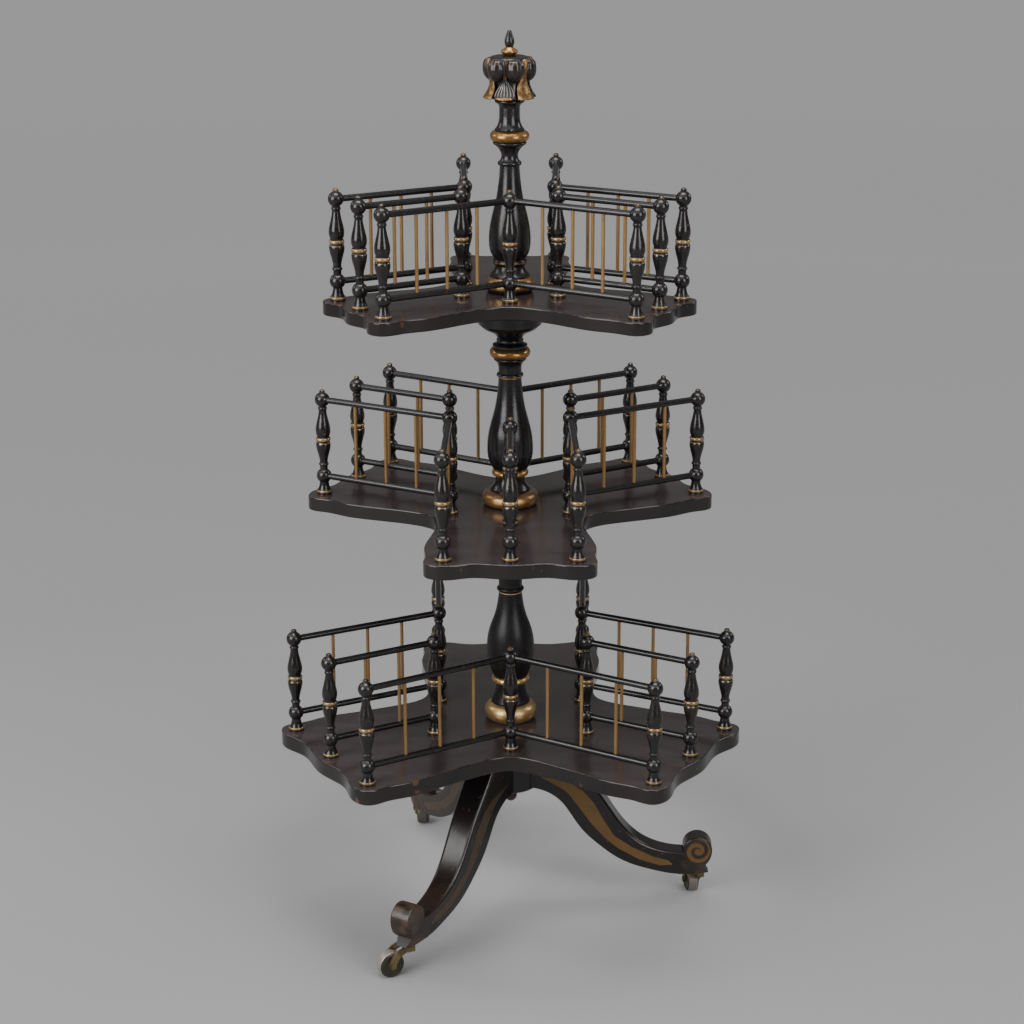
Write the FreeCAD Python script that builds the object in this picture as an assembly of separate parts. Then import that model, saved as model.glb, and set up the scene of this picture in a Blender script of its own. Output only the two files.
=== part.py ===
import FreeCAD, Part
import math
import os

# Revolving bookcase: three graduated three-armed shelves that turn one above the other on an
# iron pivot, over a tripod of scrolled legs on swivelling casters. Each shelf carries turned
# posts, rails and thin spindles that part its arms into book slots, and a turned column.
# Millimetres, +Z up. The origin is on the floor under the turning axis, and the front is -Y.

# Shelf tops above the floor, and the shelves' thickness
BOTTOM_SHELF_TOP = 325.5
MIDDLE_SHELF_TOP = 693.5
TOP_SHELF_TOP = 1040.5
BOTTOM_SHELF_THICK = 25.0
MIDDLE_SHELF_THICK = 23.0
TOP_SHELF_THICK = 21.0
SHELF_EASE = 2.0

# Plan of the galleries: end posts along an arm, half the width between its side fences there,
# the post that ends the middle fence, and the shared posts in the notches between arms
BOTTOM_REACH = 328.5
BOTTOM_HALF_WIDTH = 127.5
BOTTOM_INNER = 141.5
BOTTOM_NOTCH = 137.0
MIDDLE_REACH = 290.5
MIDDLE_HALF_WIDTH = 100.5
MIDDLE_INNER = 112.0
MIDDLE_NOTCH = 109.0
TOP_REACH = 261.0
TOP_HALF_WIDTH = 76.0
TOP_INNER = 86.0
TOP_NOTCH = 81.5

# Shelf edge past the posts: the bowed end of an arm, its rounded ears and its waved sides
END_BOW = 21.5
END_DIP = 13.5
EAR_TIP = 24.0
BOTTOM_EAR = 27.0
MIDDLE_EAR = 30.0
TOP_EAR = 23.0
WAIST_BACK = 26.0
WAIST_DEPTH = 2.5
FLARE_BACK = 62.0
SIDE_BACK = 115.0
SIDE_INSET = 6.0
NOTCH_MARGIN = 32.0

# Turned gallery posts: the rails and the middle ring are measured up from the shelf, the beads
# from their rails, and the widest parts of the vases from the middle ring
LOWER_RAIL_RISE = 30.0
MID_RING_RISE = 91.5
UPPER_RAIL_RISE = 157.0
POST_BASE_RADIUS = 11.8
POST_BASE_HEIGHT = 2.5
POST_FOOT_RADIUS = 12.7
POST_FOOT_RING = 4.0
POST_FOOT_STEP = 2.0
POST_ANKLE_RADIUS = 7.3
POST_NECK_RADIUS = 6.3
POST_BALL_RADIUS = 12.2
POST_LOW_BEAD_RADIUS = 8.0
POST_HIGH_BEAD_RADIUS = 7.4
POST_BEAD_HEIGHT = 5.0
POST_LOW_BEAD = 19.5
POST_HIGH_BEAD = 14.5
POST_STEM = 2.0
POST_VASE_RADIUS = 12.0
POST_RING_ROOT = 10.0
POST_RING_HEIGHT = 7.0
POST_RING_GAP = 1.5
POST_LOW_VASE = 8.5
POST_HIGH_VASE = 16.0
POST_BUTTON_RADIUS = 4.6
POST_BUTTON_RISE = 17.0
POST_BUTTON_DOME = 2.5
POST_DOWEL_RADIUS = 4.5
POST_DOWEL_DEPTH = 12.0

# Rails and gilt spindles of the galleries
RAIL_RADIUS = 5.0
RAIL_SEAT = 5.3
SPINDLE_RADIUS = 2.7
SPINDLE_SPREAD = 0.95
SPINDLE_SEAT = 3.0
SIDE_SPINDLES = 3
MIDDLE_SPINDLES = 2

# Turned column of each shelf: base ring, gilt ring, belly and neck bead above the shelf
BOTTOM_BASE_RADIUS = 43.0
BOTTOM_BASE_HEIGHT = 29.0
BOTTOM_RING_RISE = 69.0
BOTTOM_RING_RADIUS = 31.0
BOTTOM_BELLY_RISE = 130.0
BOTTOM_BELLY_RADIUS = 38.4
BOTTOM_BEAD_RISE = 224.5
BOTTOM_THROAT_RADIUS = 18.8
MIDDLE_BASE_RADIUS = 45.0
MIDDLE_BASE_HEIGHT = 24.0
MIDDLE_RING_RISE = 53.0
MIDDLE_RING_RADIUS = 29.3
MIDDLE_BELLY_RISE = 94.0
MIDDLE_BELLY_RADIUS = 36.6
MIDDLE_BEAD_RISE = 213.0
MIDDLE_THROAT_RADIUS = 18.2
TOP_BASE_RADIUS = 38.5
TOP_BASE_HEIGHT = 24.0
TOP_RING_RISE = 48.0
TOP_RING_RADIUS = 27.0
TOP_BELLY_RISE = 81.0
TOP_BELLY_RADIUS = 32.6
TOP_BEAD_RISE = 201.0
TOP_THROAT_RADIUS = 15.4
COLUMN_SPIGOT_RADIUS = 21.0
COLUMN_SPIGOT_DEPTH = 10.0
COLUMN_LIP_RADIUS = 31.5
COLUMN_LIP_HEIGHT = 3.0
COLUMN_WAIST_RADIUS = 22.8
COLUMN_RING_HEIGHT = 10.0
COLUMN_BEAD_HEIGHT = 7.0
COLUMN_BEAD_PROUD = 3.2
COLUMN_COVE_HEIGHT = 15.0
COLUMN_TOP_LIP_RADIUS = 26.0
COLUMN_TOP_LIP_HEIGHT = 4.5
COLUMN_TOP_LIP_ROUND = 1.5
TOP_SCOTIA_RADIUS = 13.0
TOP_SCOTIA_RISE = 9.5
TOP_COLUMN_RISE = 234.5

# Caps of the lower columns and the collars under the upper shelves
CAP_HEIGHT = 31.0
CAP_RING_RADIUS = 32.3
CAP_RING_HEIGHT = 16.0
CAP_NECK_RADIUS = 24.0
CAP_LIP_RADIUS = 27.5
CAP_LIP_SLOPE = 2.5
CAP_BEAD_RADIUS = 21.5
CAP_BEAD_ROUND = 2.0
CAP_BEAD_HEIGHT = 8.0
CAP_SPIGOT_RADIUS = 15.0
CAP_SPIGOT_HEIGHT = 14.0
COLLAR_DROP = 53.0
COLLAR_RADIUS = 50.0
COLLAR_STEP = 2.0
COLLAR_PLATE = 30.0
COLLAR_FOOT_RADIUS = 20.0

# Neck, carved capital and acorn above the top column
NECK_HEIGHT = 64.5
NECK_RING_RADIUS = 30.5
NECK_RING_ROOT = 23.0
NECK_RING_HEIGHT = 16.5
NECK_FLARE_RADIUS = 23.0
NECK_FLARE_HEIGHT = 22.0
NECK_FLARE_LIP = 2.0
NECK_RADIUS = 16.0
NECK_COLLAR_RADIUS = 23.0
NECK_COLLAR_ROUND = 1.5
NECK_COLLAR_HEIGHT = 6.0
NECK_COVE_HEIGHT = 9.0
CAPITAL_HEIGHT = 66.0
CAPITAL_FLARE_RADIUS = 40.0
CAPITAL_FLARE_RISE = 4.0
CAPITAL_FLARE_EDGE = 4.0
CAPITAL_WAIST_RADIUS = 26.0
CAPITAL_WAIST_RISE = 28.0
CAPITAL_CROWN_RADIUS = 34.0
CAPITAL_CROWN_RISE = 38.0
CAPITAL_CROWN_BEVEL = 6.0
CAPITAL_LOBES = 6
CAPITAL_LOBE_TURN = 47.0
CAPITAL_LOBE_RADIUS = 16.0
CAPITAL_LOBE_OUT = 26.0
CAPITAL_LOBE_RISE = 46.0
CAPITAL_TENON_RADIUS = 9.0
CAPITAL_TENON_HEIGHT = 18.0
FINIAL_BEAD_RADIUS = 12.8
FINIAL_BEAD_HEIGHT = 13.0
FINIAL_ACORN_RADIUS = 7.6
FINIAL_ACORN_HEIGHT = 25.0
FINIAL_TIP = 3.5
FINIAL_TENON_RADIUS = 4.0
FINIAL_TENON_DEPTH = 15.0

# Iron pivot, its washers and the brass bushes that turn on it
PIVOT_RADIUS = 12.0
PIVOT_STEP = 1.5
PIVOT_SEAT = 76.0
PIVOT_TOP_RISE = 120.0
PIVOT_BEVEL = 2.0
PIVOT_CLEARANCE = 0.05
WASHER_RADIUS = 16.0
WASHER_THICK = 3.0
BUSH_WALL = 3.5
BUSH_RISE = 30.0
BORE_CLEARANCE = 1.5
TURN_GAP = 0.4

# Tripod: turned hub with a small drop under it, and three scrolled legs
HUB_RADIUS = 44.0
HUB_BOTTOM = 205.5
HUB_TOP = 296.5
HUB_ROUND = 4.0
DROP_RADIUS = 10.0
DROP_LENGTH = 30.0
DROP_PLATE = 3.0
DROP_TENON_RADIUS = 6.0
DROP_TENON_LENGTH = 11.0
LEG_ROOT_WIDTH = 56.0
LEG_TOE_WIDTH = 31.5
LEG_TOP = 293.5
LEG_SHOULDER = 82.0
LEG_UNDER = 209.5
LEG_FOOT = 51.0
LEG_EASE = 6.0
FOOT_TOE = 331.0
FOOT_LENGTH = 51.0
FOOT_HEIGHT = 16.2
FOOT_SLOPE = 14.0
FOOT_TIP_WIDTH = 18.0
SCROLL_INSET = 19.0
SCROLL_RISE = 93.0
SCROLL_RADIUS = 24.5
SCROLL_WIDTH = 34.5
SCROLL_ROUND = 3.0
CASTER_INSET = 20.5
TENON_WIDTH = 20.0
TENON_DEPTH = 14.0
TENON_BOTTOM = 230.5
RIGHT_LEG = -1.5
BACK_LEG = 121.0
FRONT_LEG = -121.5

# Casters: plate and socket under each foot, swivelling horn, axle and wheel
PLATE_RADIUS = 13.5
PLATE_THICK = 2.5
SOCKET_RADIUS = 7.0
SOCKET_DEPTH = 24.0
STEM_RADIUS = 5.0
STEM_GAP = 2.0
CROWN_RADIUS = 10.0
CROWN_THICK = 9.0
CASTER_TRAIL = 32.0
WHEEL_RADIUS = 21.0
WHEEL_WIDTH = 19.0
WHEEL_ROUND = 4.0
WHEEL_DISH = 1.0
HORN_GAP = 0.8
HORN_THICK = 3.0
HORN_BOSS_RADIUS = 6.5
HORN_ARM = 12.0
HORN_HEEL = 131.0
AXLE_RADIUS = 3.0
AXLE_HEAD_RADIUS = 4.5
AXLE_HEAD_THICK = 1.5
RIGHT_TRAIL = 100.0
BACK_TRAIL = 85.0
FRONT_TRAIL = 208.0
SCREW_RADIUS = 1.8
SCREW_HEAD_RADIUS = 3.2
SCREW_HEAD_DEPTH = 1.8
SCREW_LENGTH = 12.0
SCREW_POINT = 3.0
SCREW_CIRCLE = 9.8
PLATE_SCREWS = 3

# Curves as shares, so that they follow their ends. A post's vases: share of the way up, share of
# the swell from neck to vase. A column's taper: the same, from its belly to its throat.
POST_SWELL = ((0.35, 0.32), (0.67, 0.76), (1.0, 1.0))
POST_TAPER = ((0.30, 0.74), (0.62, 0.33), (0.84, 0.09), (1.0, 0.0))
COLUMN_TAPER = ((0.28, 0.79), (0.55, 0.35), (0.80, 0.09), (1.0, 0.0))

# A leg's back, from its shoulder to the middle of its scroll, and its belly, from the hub to the
# outside of the scroll: share of the way out, share of the way up from the scroll.
LEG_BACK = ((0.0, 1.0), (0.122, 0.766), (0.302, 0.495), (0.47, 0.212), (0.596, 0.082), (0.748, 0.01),
            (0.883, -0.01), (1.0, 0.0))
LEG_BELLY = ((0.0, 1.0), (0.128, 0.93), (0.195, 0.795), (0.252, 0.58), (0.313, 0.34), (0.396, 0.12),
             (0.486, -0.07), (0.578, -0.197), (0.69, -0.29), (0.88, -0.34), (0.968, -0.214), (1.0, 0.0))

ARMS = 3
THIRD = 360.0 / ARMS
OVERRUN = 1.0
UP = FreeCAD.Vector(0, 0, 1)
ORIGIN = FreeCAD.Vector(0, 0, 0)

# The scroll and the caster keep their places on the foot
SCROLL_OUT = FOOT_TOE - SCROLL_INSET
FOOT_OUT = FOOT_TOE - CASTER_INSET


class Tier:
    """One revolving shelf: the sizes of its board, gallery, column and bearing."""

    def __init__(self, name, arm, top, thick, plan, ear, column, pivot_radius):
        self.name = name
        self.arm = arm
        self.top = top
        self.under = top - thick
        self.reach, self.half_width, self.inner, self.notch = plan
        self.ear = ear
        self.base_radius, self.base_height, self.ring_rise, self.ring_radius = column[:4]
        self.belly_rise, self.belly_radius, self.bead_rise, self.throat = column[4:]
        self.pivot_radius = pivot_radius
        self.bush_radius = pivot_radius + PIVOT_CLEARANCE + BUSH_WALL


BOTTOM = Tier(
    "bottom", 90.0, BOTTOM_SHELF_TOP, BOTTOM_SHELF_THICK,
    (BOTTOM_REACH, BOTTOM_HALF_WIDTH, BOTTOM_INNER, BOTTOM_NOTCH), BOTTOM_EAR,
    (BOTTOM_BASE_RADIUS, BOTTOM_BASE_HEIGHT, BOTTOM_RING_RISE, BOTTOM_RING_RADIUS,
     BOTTOM_BELLY_RISE, BOTTOM_BELLY_RADIUS, BOTTOM_BEAD_RISE, BOTTOM_THROAT_RADIUS),
    PIVOT_RADIUS - PIVOT_STEP,
)
MIDDLE = Tier(
    "middle", 30.0, MIDDLE_SHELF_TOP, MIDDLE_SHELF_THICK,
    (MIDDLE_REACH, MIDDLE_HALF_WIDTH, MIDDLE_INNER, MIDDLE_NOTCH), MIDDLE_EAR,
    (MIDDLE_BASE_RADIUS, MIDDLE_BASE_HEIGHT, MIDDLE_RING_RISE, MIDDLE_RING_RADIUS,
     MIDDLE_BELLY_RISE, MIDDLE_BELLY_RADIUS, MIDDLE_BEAD_RISE, MIDDLE_THROAT_RADIUS),
    PIVOT_RADIUS - 2 * PIVOT_STEP,
)
TOP = Tier(
    "top", 90.0, TOP_SHELF_TOP, TOP_SHELF_THICK,
    (TOP_REACH, TOP_HALF_WIDTH, TOP_INNER, TOP_NOTCH), TOP_EAR,
    (TOP_BASE_RADIUS, TOP_BASE_HEIGHT, TOP_RING_RISE, TOP_RING_RADIUS,
     TOP_BELLY_RISE, TOP_BELLY_RADIUS, TOP_BEAD_RISE, TOP_THROAT_RADIUS),
    PIVOT_RADIUS - 3 * PIVOT_STEP,
)
TIERS = (BOTTOM, MIDDLE, TOP)

# Where a tier's column ends below the collar of the shelf above it
BOTTOM.cap_top = MIDDLE.under - COLLAR_DROP - TURN_GAP
MIDDLE.cap_top = TOP.under - COLLAR_DROP - TURN_GAP
BOTTOM.seat = BOTTOM.cap_top - CAP_HEIGHT
MIDDLE.seat = MIDDLE.cap_top - CAP_HEIGHT
TOP.seat = TOP.top + TOP_COLUMN_RISE
TOP.cap_top = TOP.seat + NECK_HEIGHT

# Where each tier's bush stands on its washer
BOTTOM.washer = HUB_TOP
MIDDLE.washer = MIDDLE.under - COLLAR_DROP - TURN_GAP - WASHER_THICK
TOP.washer = TOP.under - COLLAR_DROP - TURN_GAP - WASHER_THICK


def vec(x, y, z):
    return FreeCAD.Vector(x, y, z)


def polar(radius, degrees, z):
    turn = math.radians(degrees)
    return vec(radius * math.cos(turn), radius * math.sin(turn), z)


def cylinder(radius, base, height):
    """An upright round bar about the turning axis."""
    return Part.makeCylinder(radius, height, vec(0, 0, base))


def spline(points):
    curve = Part.BSplineCurve()
    curve.interpolate(points)
    return curve.toShape()


def turned(profile):
    """Turn a half profile of (radius, z) about Z.

    A pair is a straight run, four numbers are an arc through a middle point, and a list of
    pairs is a smooth curve through them. The profile starts and ends on the axis.
    """
    here = vec(profile[0][0], 0, profile[0][1])
    first = here
    edges = []
    for step in profile[1:]:
        if isinstance(step, list):
            points = [here] + [vec(r, 0, z) for r, z in step]
            edges.append(spline(points))
            here = points[-1]
        elif len(step) == 4:
            middle = vec(step[0], 0, step[1])
            end = vec(step[2], 0, step[3])
            edges.append(Part.Arc(here, middle, end).toShape())
            here = end
        else:
            end = vec(step[0], 0, step[1])
            edges.append(Part.makeLine(here, end))
            here = end
    edges.append(Part.makeLine(here, first))
    return Part.Face(Part.Wire(edges)).revolve(ORIGIN, UP, 360)


def dome(radius, edge, tip):
    """Middle point of the arc of a round cap, from its edge level to its tip on the axis."""
    rise = tip - edge
    ball = (radius ** 2 + rise ** 2) / (2 * abs(rise))
    lean = 0.5 * math.asin(radius / ball) if abs(rise) <= ball else 0.5 * math.pi
    return ball * math.sin(lean), tip - math.copysign(ball * (1 - math.cos(lean)), rise)


def moved(shape, place, degrees=0.0):
    """A copy turned about Z and then carried to a place."""
    copy = shape.copy()
    copy.rotate(ORIGIN, UP, degrees)
    copy.translate(place)
    return copy


def save(name, solids):
    if not isinstance(solids, list):
        solids = [solids]
    shape = solids[0] if len(solids) == 1 else Part.makeCompound(solids)
    bad = [solid for solid in shape.Solids if not solid.isValid()]
    print(name, len(shape.Solids), "solids", round(shape.Volume), "mm3", "invalid" if bad else "")
    shape.exportStep("parts/" + name + ".step")


def outline_half(tier):
    """Shelf edge of half an arm as (along the arm, to its side), from its end to its root."""
    reach = tier.reach
    side = tier.half_width + tier.ear
    return [
        (reach + END_BOW, 0.0),
        (reach + END_DIP, 0.55 * tier.half_width),
        (reach + EAR_TIP, 0.93 * tier.half_width),
        (reach + 0.62 * EAR_TIP, tier.half_width + 0.8 * tier.ear),
        (reach - 0.15 * WAIST_BACK, side),
        (reach - WAIST_BACK, side - WAIST_DEPTH),
        (reach - FLARE_BACK, side + 0.5),
        (reach - SIDE_BACK, side - SIDE_INSET),
        (tier.inner + 8.0, tier.half_width + 0.5 * tier.ear),
    ]


def shelf_outline(tier):
    half = outline_half(tier)
    points = []
    for index in range(ARMS):
        arm = tier.arm + index * THIRD
        along = polar(1.0, arm, 0.0)
        across = polar(1.0, arm + 90.0, 0.0)
        for u, w in half[:0:-1]:
            points.append(along * u - across * w)
        for u, w in half:
            points.append(along * u + across * w)
        points.append(polar(tier.notch + NOTCH_MARGIN, arm + THIRD / 2, 0.0))
    # Spacing the parameters by the root of each chord keeps the curve from overshooting
    places = [0.0]
    for here, after in zip(points, points[1:] + points[:1]):
        places.append(places[-1] + math.sqrt((after - here).Length))
    curve = Part.BSplineCurve()
    curve.interpolate(Points=points, Parameters=places, PeriodicFlag=True)
    return Part.Wire([curve.toShape()])


def post_plan(tier):
    """Post places of a tier by kind, and the pairs of places that its fences join."""
    corners = []
    ends = []
    inners = []
    sides = []
    middles = []
    notches = [polar(tier.notch, tier.arm + THIRD * (i + 0.5), tier.top) for i in range(ARMS)]
    for index in range(ARMS):
        arm = tier.arm + index * THIRD
        across = polar(tier.half_width, arm + 90.0, 0.0)
        end = polar(tier.reach, arm, tier.top)
        inner = polar(tier.inner, arm, tier.top)
        corners += [end + across, end - across]
        ends.append(end)
        inners.append(inner)
        sides.append((end + across, notches[index]))
        sides.append((end - across, notches[index - 1]))
        middles.append((end, inner))
    return corners, ends, inners + notches, sides, middles


def gallery_post():
    """One turned post standing on z = 0, with the dowel that holds it in the shelf."""
    ball = math.sqrt(POST_BALL_RADIUS ** 2 - POST_NECK_RADIUS ** 2)
    sole = math.sqrt(POST_BALL_RADIUS ** 2 - POST_ANKLE_RADIUS ** 2)
    crown = math.sqrt(POST_BALL_RADIUS ** 2 - POST_BUTTON_RADIUS ** 2)
    half_bead = POST_BEAD_HEIGHT / 2
    half_ring = POST_RING_HEIGHT / 2
    low = LOWER_RAIL_RISE
    ring = MID_RING_RISE
    top = UPPER_RAIL_RISE
    low_bead = low + POST_LOW_BEAD
    high_bead = top - POST_HIGH_BEAD
    low_vase = ring - POST_LOW_VASE
    high_vase = ring + POST_HIGH_VASE
    swell_foot = low_bead + half_bead + POST_STEM
    taper_top = high_bead - half_bead - POST_STEM
    button = top + POST_BUTTON_RISE
    root = POST_RING_ROOT
    neck = POST_NECK_RADIUS
    ankle = POST_ANKLE_RADIUS
    foot = POST_BASE_HEIGHT + POST_FOOT_RING
    swell = POST_VASE_RADIUS - neck
    return turned([
        (0, -POST_DOWEL_DEPTH),
        (POST_DOWEL_RADIUS, -POST_DOWEL_DEPTH),
        (POST_DOWEL_RADIUS, 0),
        (POST_BASE_RADIUS, 0),
        (POST_BASE_RADIUS, POST_BASE_HEIGHT),
        (POST_FOOT_RADIUS, POST_BASE_HEIGHT + POST_FOOT_RING / 2, POST_BASE_RADIUS, foot),
        (POST_FOOT_RADIUS - POST_FOOT_STEP, foot),
        (1.14 * ankle, foot + 0.45 * (low - sole - foot), ankle, low - sole),
        (POST_BALL_RADIUS, low, neck, low + ball),
        (neck, low_bead - half_bead),
        (POST_LOW_BEAD_RADIUS, low_bead, neck, low_bead + half_bead),
        (neck, swell_foot),
        [(neck + swell * out, swell_foot + up * (low_vase - swell_foot)) for up, out in POST_SWELL],
        (0.97 * POST_VASE_RADIUS, 0.58 * low_vase + 0.42 * (ring - half_ring), root, ring - half_ring),
        (POST_VASE_RADIUS, ring, root, ring + half_ring),
        (root, ring + half_ring + POST_RING_GAP),
        [(POST_VASE_RADIUS, high_vase)]
        + [(neck + swell * out, high_vase + up * (taper_top - high_vase)) for up, out in POST_TAPER],
        (neck, high_bead - half_bead),
        (POST_HIGH_BEAD_RADIUS, high_bead, neck, high_bead + half_bead),
        (neck, top - ball),
        (POST_BALL_RADIUS, top, POST_BUTTON_RADIUS, top + crown),
        (POST_BUTTON_RADIUS, button - POST_BUTTON_DOME),
        dome(POST_BUTTON_RADIUS, button - POST_BUTTON_DOME, button) + (0, button),
    ])


def bar(start, end, radius):
    run = end - start
    return Part.makeCylinder(radius, run.Length, start, run)


def fence_rail(pair, rise):
    """A rail let into the balls of the posts at its two ends."""
    start, end = pair
    step = (end - start).normalize() * (POST_BALL_RADIUS - RAIL_SEAT)
    lift = vec(0, 0, rise)
    return bar(start + step + lift, end - step + lift, RAIL_RADIUS)


def fence_spindles(pair, count):
    """Thin upright spindles, evenly spaced about the middle and let into both rails."""
    start, end = pair
    middle = (start + end) / 2
    low = LOWER_RAIL_RISE + RAIL_RADIUS - SPINDLE_SEAT
    high = UPPER_RAIL_RISE - RAIL_RADIUS + SPINDLE_SEAT
    spindles = []
    for index in range(count):
        share = SPINDLE_SPREAD * ((index + 1) / (count + 1) - 0.5)
        foot = middle + (end - start) * share
        spindles.append(Part.makeCylinder(SPINDLE_RADIUS, high - low, foot + vec(0, 0, low)))
    return spindles


def near(solids, shape):
    """The solids whose boxes meet a shape's box."""
    box = shape.BoundBox
    return [solid for solid in solids if box.intersect(solid.BoundBox)]


def cut_by(solid, tools):
    meets = near(tools, solid)
    return solid.cut(meets).Solids[0] if meets else solid


def gallery(tier):
    """Posts, rails and spindles of one shelf; every end is let into what carries it."""
    corners, ends, inners, sides, middles = post_plan(tier)
    fences = sides + middles
    spindles = []
    for pair in sides:
        spindles += fence_spindles(pair, SIDE_SPINDLES)
    for pair in middles:
        spindles += fence_spindles(pair, MIDDLE_SPINDLES)
    low_rails = [fence_rail(pair, LOWER_RAIL_RISE) for pair in fences]
    high_rails = [fence_rail(pair, UPPER_RAIL_RISE) for pair in fences]
    rails = low_rails + high_rails
    post = gallery_post()
    posts = {
        "corner_posts": corners,
        "end_posts": ends,
        "inner_posts": inners,
    }
    for kind, places in posts.items():
        save(tier.name + "_" + kind, [cut_by(moved(post, place), rails) for place in places])
    save(tier.name + "_lower_rails", [cut_by(rail, spindles) for rail in low_rails])
    save(tier.name + "_upper_rails", [cut_by(rail, spindles) for rail in high_rails])
    save(tier.name + "_spindles", spindles)
    return corners + ends + inners


def shelf(tier, posts):
    """The board, bored for its bush, its column's spigot and the dowels of its posts."""
    board = Part.Face(shelf_outline(tier)).extrude(vec(0, 0, tier.top - tier.under))
    board = board.makeFillet(SHELF_EASE, [edge for edge in board.Edges if edge.isClosed()])
    board.translate(vec(0, 0, tier.under))
    tools = [
        cylinder(tier.bush_radius, tier.under - OVERRUN, tier.top - tier.under + 2 * OVERRUN),
        cylinder(COLUMN_SPIGOT_RADIUS, tier.top - COLUMN_SPIGOT_DEPTH, COLUMN_SPIGOT_DEPTH + OVERRUN),
    ]
    dowel = cylinder(POST_DOWEL_RADIUS, -POST_DOWEL_DEPTH, POST_DOWEL_DEPTH + OVERRUN)
    tools += [moved(dowel, place) for place in posts]
    return board.cut(tools).Solids[0]


def base_ring(tier):
    """Gilt ring that the column stands in."""
    top = tier.top + tier.base_height
    radius = tier.base_radius
    ring = turned([
        (0, tier.top),
        (0.85 * radius, tier.top),
        (radius, tier.top + 0.45 * tier.base_height, COLUMN_LIP_RADIUS, top),
        (0, top),
    ])
    return ring.cut(cylinder(COLUMN_SPIGOT_RADIUS, tier.top - OVERRUN, tier.base_height + 2 * OVERRUN))


def vase(tier):
    """Column profile from the spigot in the shelf up to the bead on its throat."""
    floor = tier.top
    ring = floor + tier.ring_rise
    half_ring = COLUMN_RING_HEIGHT / 2
    lip = floor + tier.base_height + COLUMN_LIP_HEIGHT
    belly = floor + tier.belly_rise
    bead = floor + tier.bead_rise
    half_bead = COLUMN_BEAD_HEIGHT / 2
    root = 0.88 * tier.ring_radius
    run = bead - half_bead - belly
    swell = tier.belly_radius - tier.throat
    cove = COLUMN_LIP_RADIUS - COLUMN_WAIST_RADIUS
    waist = ring - half_ring - 0.15 * COLUMN_RING_HEIGHT
    return [
        (0, floor - COLUMN_SPIGOT_DEPTH),
        (COLUMN_SPIGOT_RADIUS, floor - COLUMN_SPIGOT_DEPTH),
        (COLUMN_SPIGOT_RADIUS, floor + tier.base_height),
        (COLUMN_LIP_RADIUS, floor + tier.base_height),
        (COLUMN_LIP_RADIUS, lip),
        [(COLUMN_WAIST_RADIUS + 0.38 * cove, lip + 0.4 * (waist - lip)), (COLUMN_WAIST_RADIUS, waist)],
        (root, ring - half_ring),
        (tier.ring_radius, ring, root, ring + half_ring),
        [(root + 0.63 * (tier.belly_radius - root), ring + 0.40 * (belly - ring)),
         (tier.belly_radius, belly)]
        + [(tier.throat + swell * out, belly + run * up) for up, out in COLUMN_TAPER],
        (tier.throat + COLUMN_BEAD_PROUD, bead, tier.throat, bead + half_bead),
    ]


def bored(shape, tier, top):
    """Bore a column up to a height for the pivot, with room for the bush at its foot."""
    foot = tier.top - COLUMN_SPIGOT_DEPTH - OVERRUN
    shape = shape.cut(cylinder(tier.pivot_radius + BORE_CLEARANCE, foot, top - foot))
    return shape.cut(cylinder(tier.bush_radius, foot, tier.top + BUSH_RISE - foot))


def lower_column(tier):
    """Column of a lower shelf, with a spigot on top for its cap."""
    lip = tier.seat - COLUMN_TOP_LIP_HEIGHT
    edge = COLUMN_TOP_LIP_RADIUS - COLUMN_TOP_LIP_ROUND
    cove = lip - COLUMN_COVE_HEIGHT
    top = tier.seat + CAP_SPIGOT_HEIGHT
    profile = vase(tier) + [
        (tier.throat, cove),
        (tier.throat + 0.28 * (edge - tier.throat), cove + 0.62 * COLUMN_COVE_HEIGHT, edge, lip),
        (COLUMN_TOP_LIP_RADIUS, lip + COLUMN_TOP_LIP_HEIGHT / 2, edge, tier.seat),
        (CAP_SPIGOT_RADIUS, tier.seat),
        (CAP_SPIGOT_RADIUS, top),
        (0, top),
    ]
    return bored(turned(profile), tier, top + OVERRUN)


def column_cap(tier):
    """Gilt ring, lip and bead that finish a lower column under the next shelf's collar."""
    seat = tier.seat
    top = tier.cap_top
    ring = seat + CAP_RING_HEIGHT
    bead = top - CAP_BEAD_HEIGHT
    edge = CAP_BEAD_RADIUS - CAP_BEAD_ROUND
    cap = turned([
        (0, seat),
        (CAP_NECK_RADIUS, seat),
        (CAP_RING_RADIUS, seat + CAP_RING_HEIGHT / 2, CAP_NECK_RADIUS, ring),
        (CAP_LIP_RADIUS, ring + 0.4 * CAP_LIP_SLOPE),
        (CAP_LIP_RADIUS, bead - CAP_LIP_SLOPE),
        (edge, bead),
        (CAP_BEAD_RADIUS, bead + CAP_BEAD_HEIGHT / 2, edge, top),
        (0, top),
    ])
    cap = cap.cut(cylinder(CAP_SPIGOT_RADIUS, seat - OVERRUN, CAP_SPIGOT_HEIGHT + OVERRUN))
    cap = cap.cut(cylinder(tier.pivot_radius + BORE_CLEARANCE, seat, CAP_HEIGHT + OVERRUN))
    well = 2 * WASHER_THICK
    return cap.cut(cylinder(WASHER_RADIUS + BORE_CLEARANCE, top - well, well + OVERRUN))


def shelf_collar(tier):
    """Turned boss under an upper shelf, coved in to meet the column below it."""
    foot = tier.under - COLLAR_DROP
    plate = tier.under - COLLAR_PLATE
    collar = turned([
        (0, foot),
        (COLLAR_FOOT_RADIUS, foot),
        [(1.45 * COLLAR_FOOT_RADIUS, foot + 0.39 * (plate - foot)),
         (2.05 * COLLAR_FOOT_RADIUS, foot + 0.66 * (plate - foot)),
         (COLLAR_RADIUS - COLLAR_STEP, plate)],
        (COLLAR_RADIUS, plate),
        (COLLAR_RADIUS, tier.under),
        (0, tier.under),
    ])
    return collar.cut(cylinder(tier.bush_radius, foot - OVERRUN, COLLAR_DROP + 2 * OVERRUN))


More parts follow.
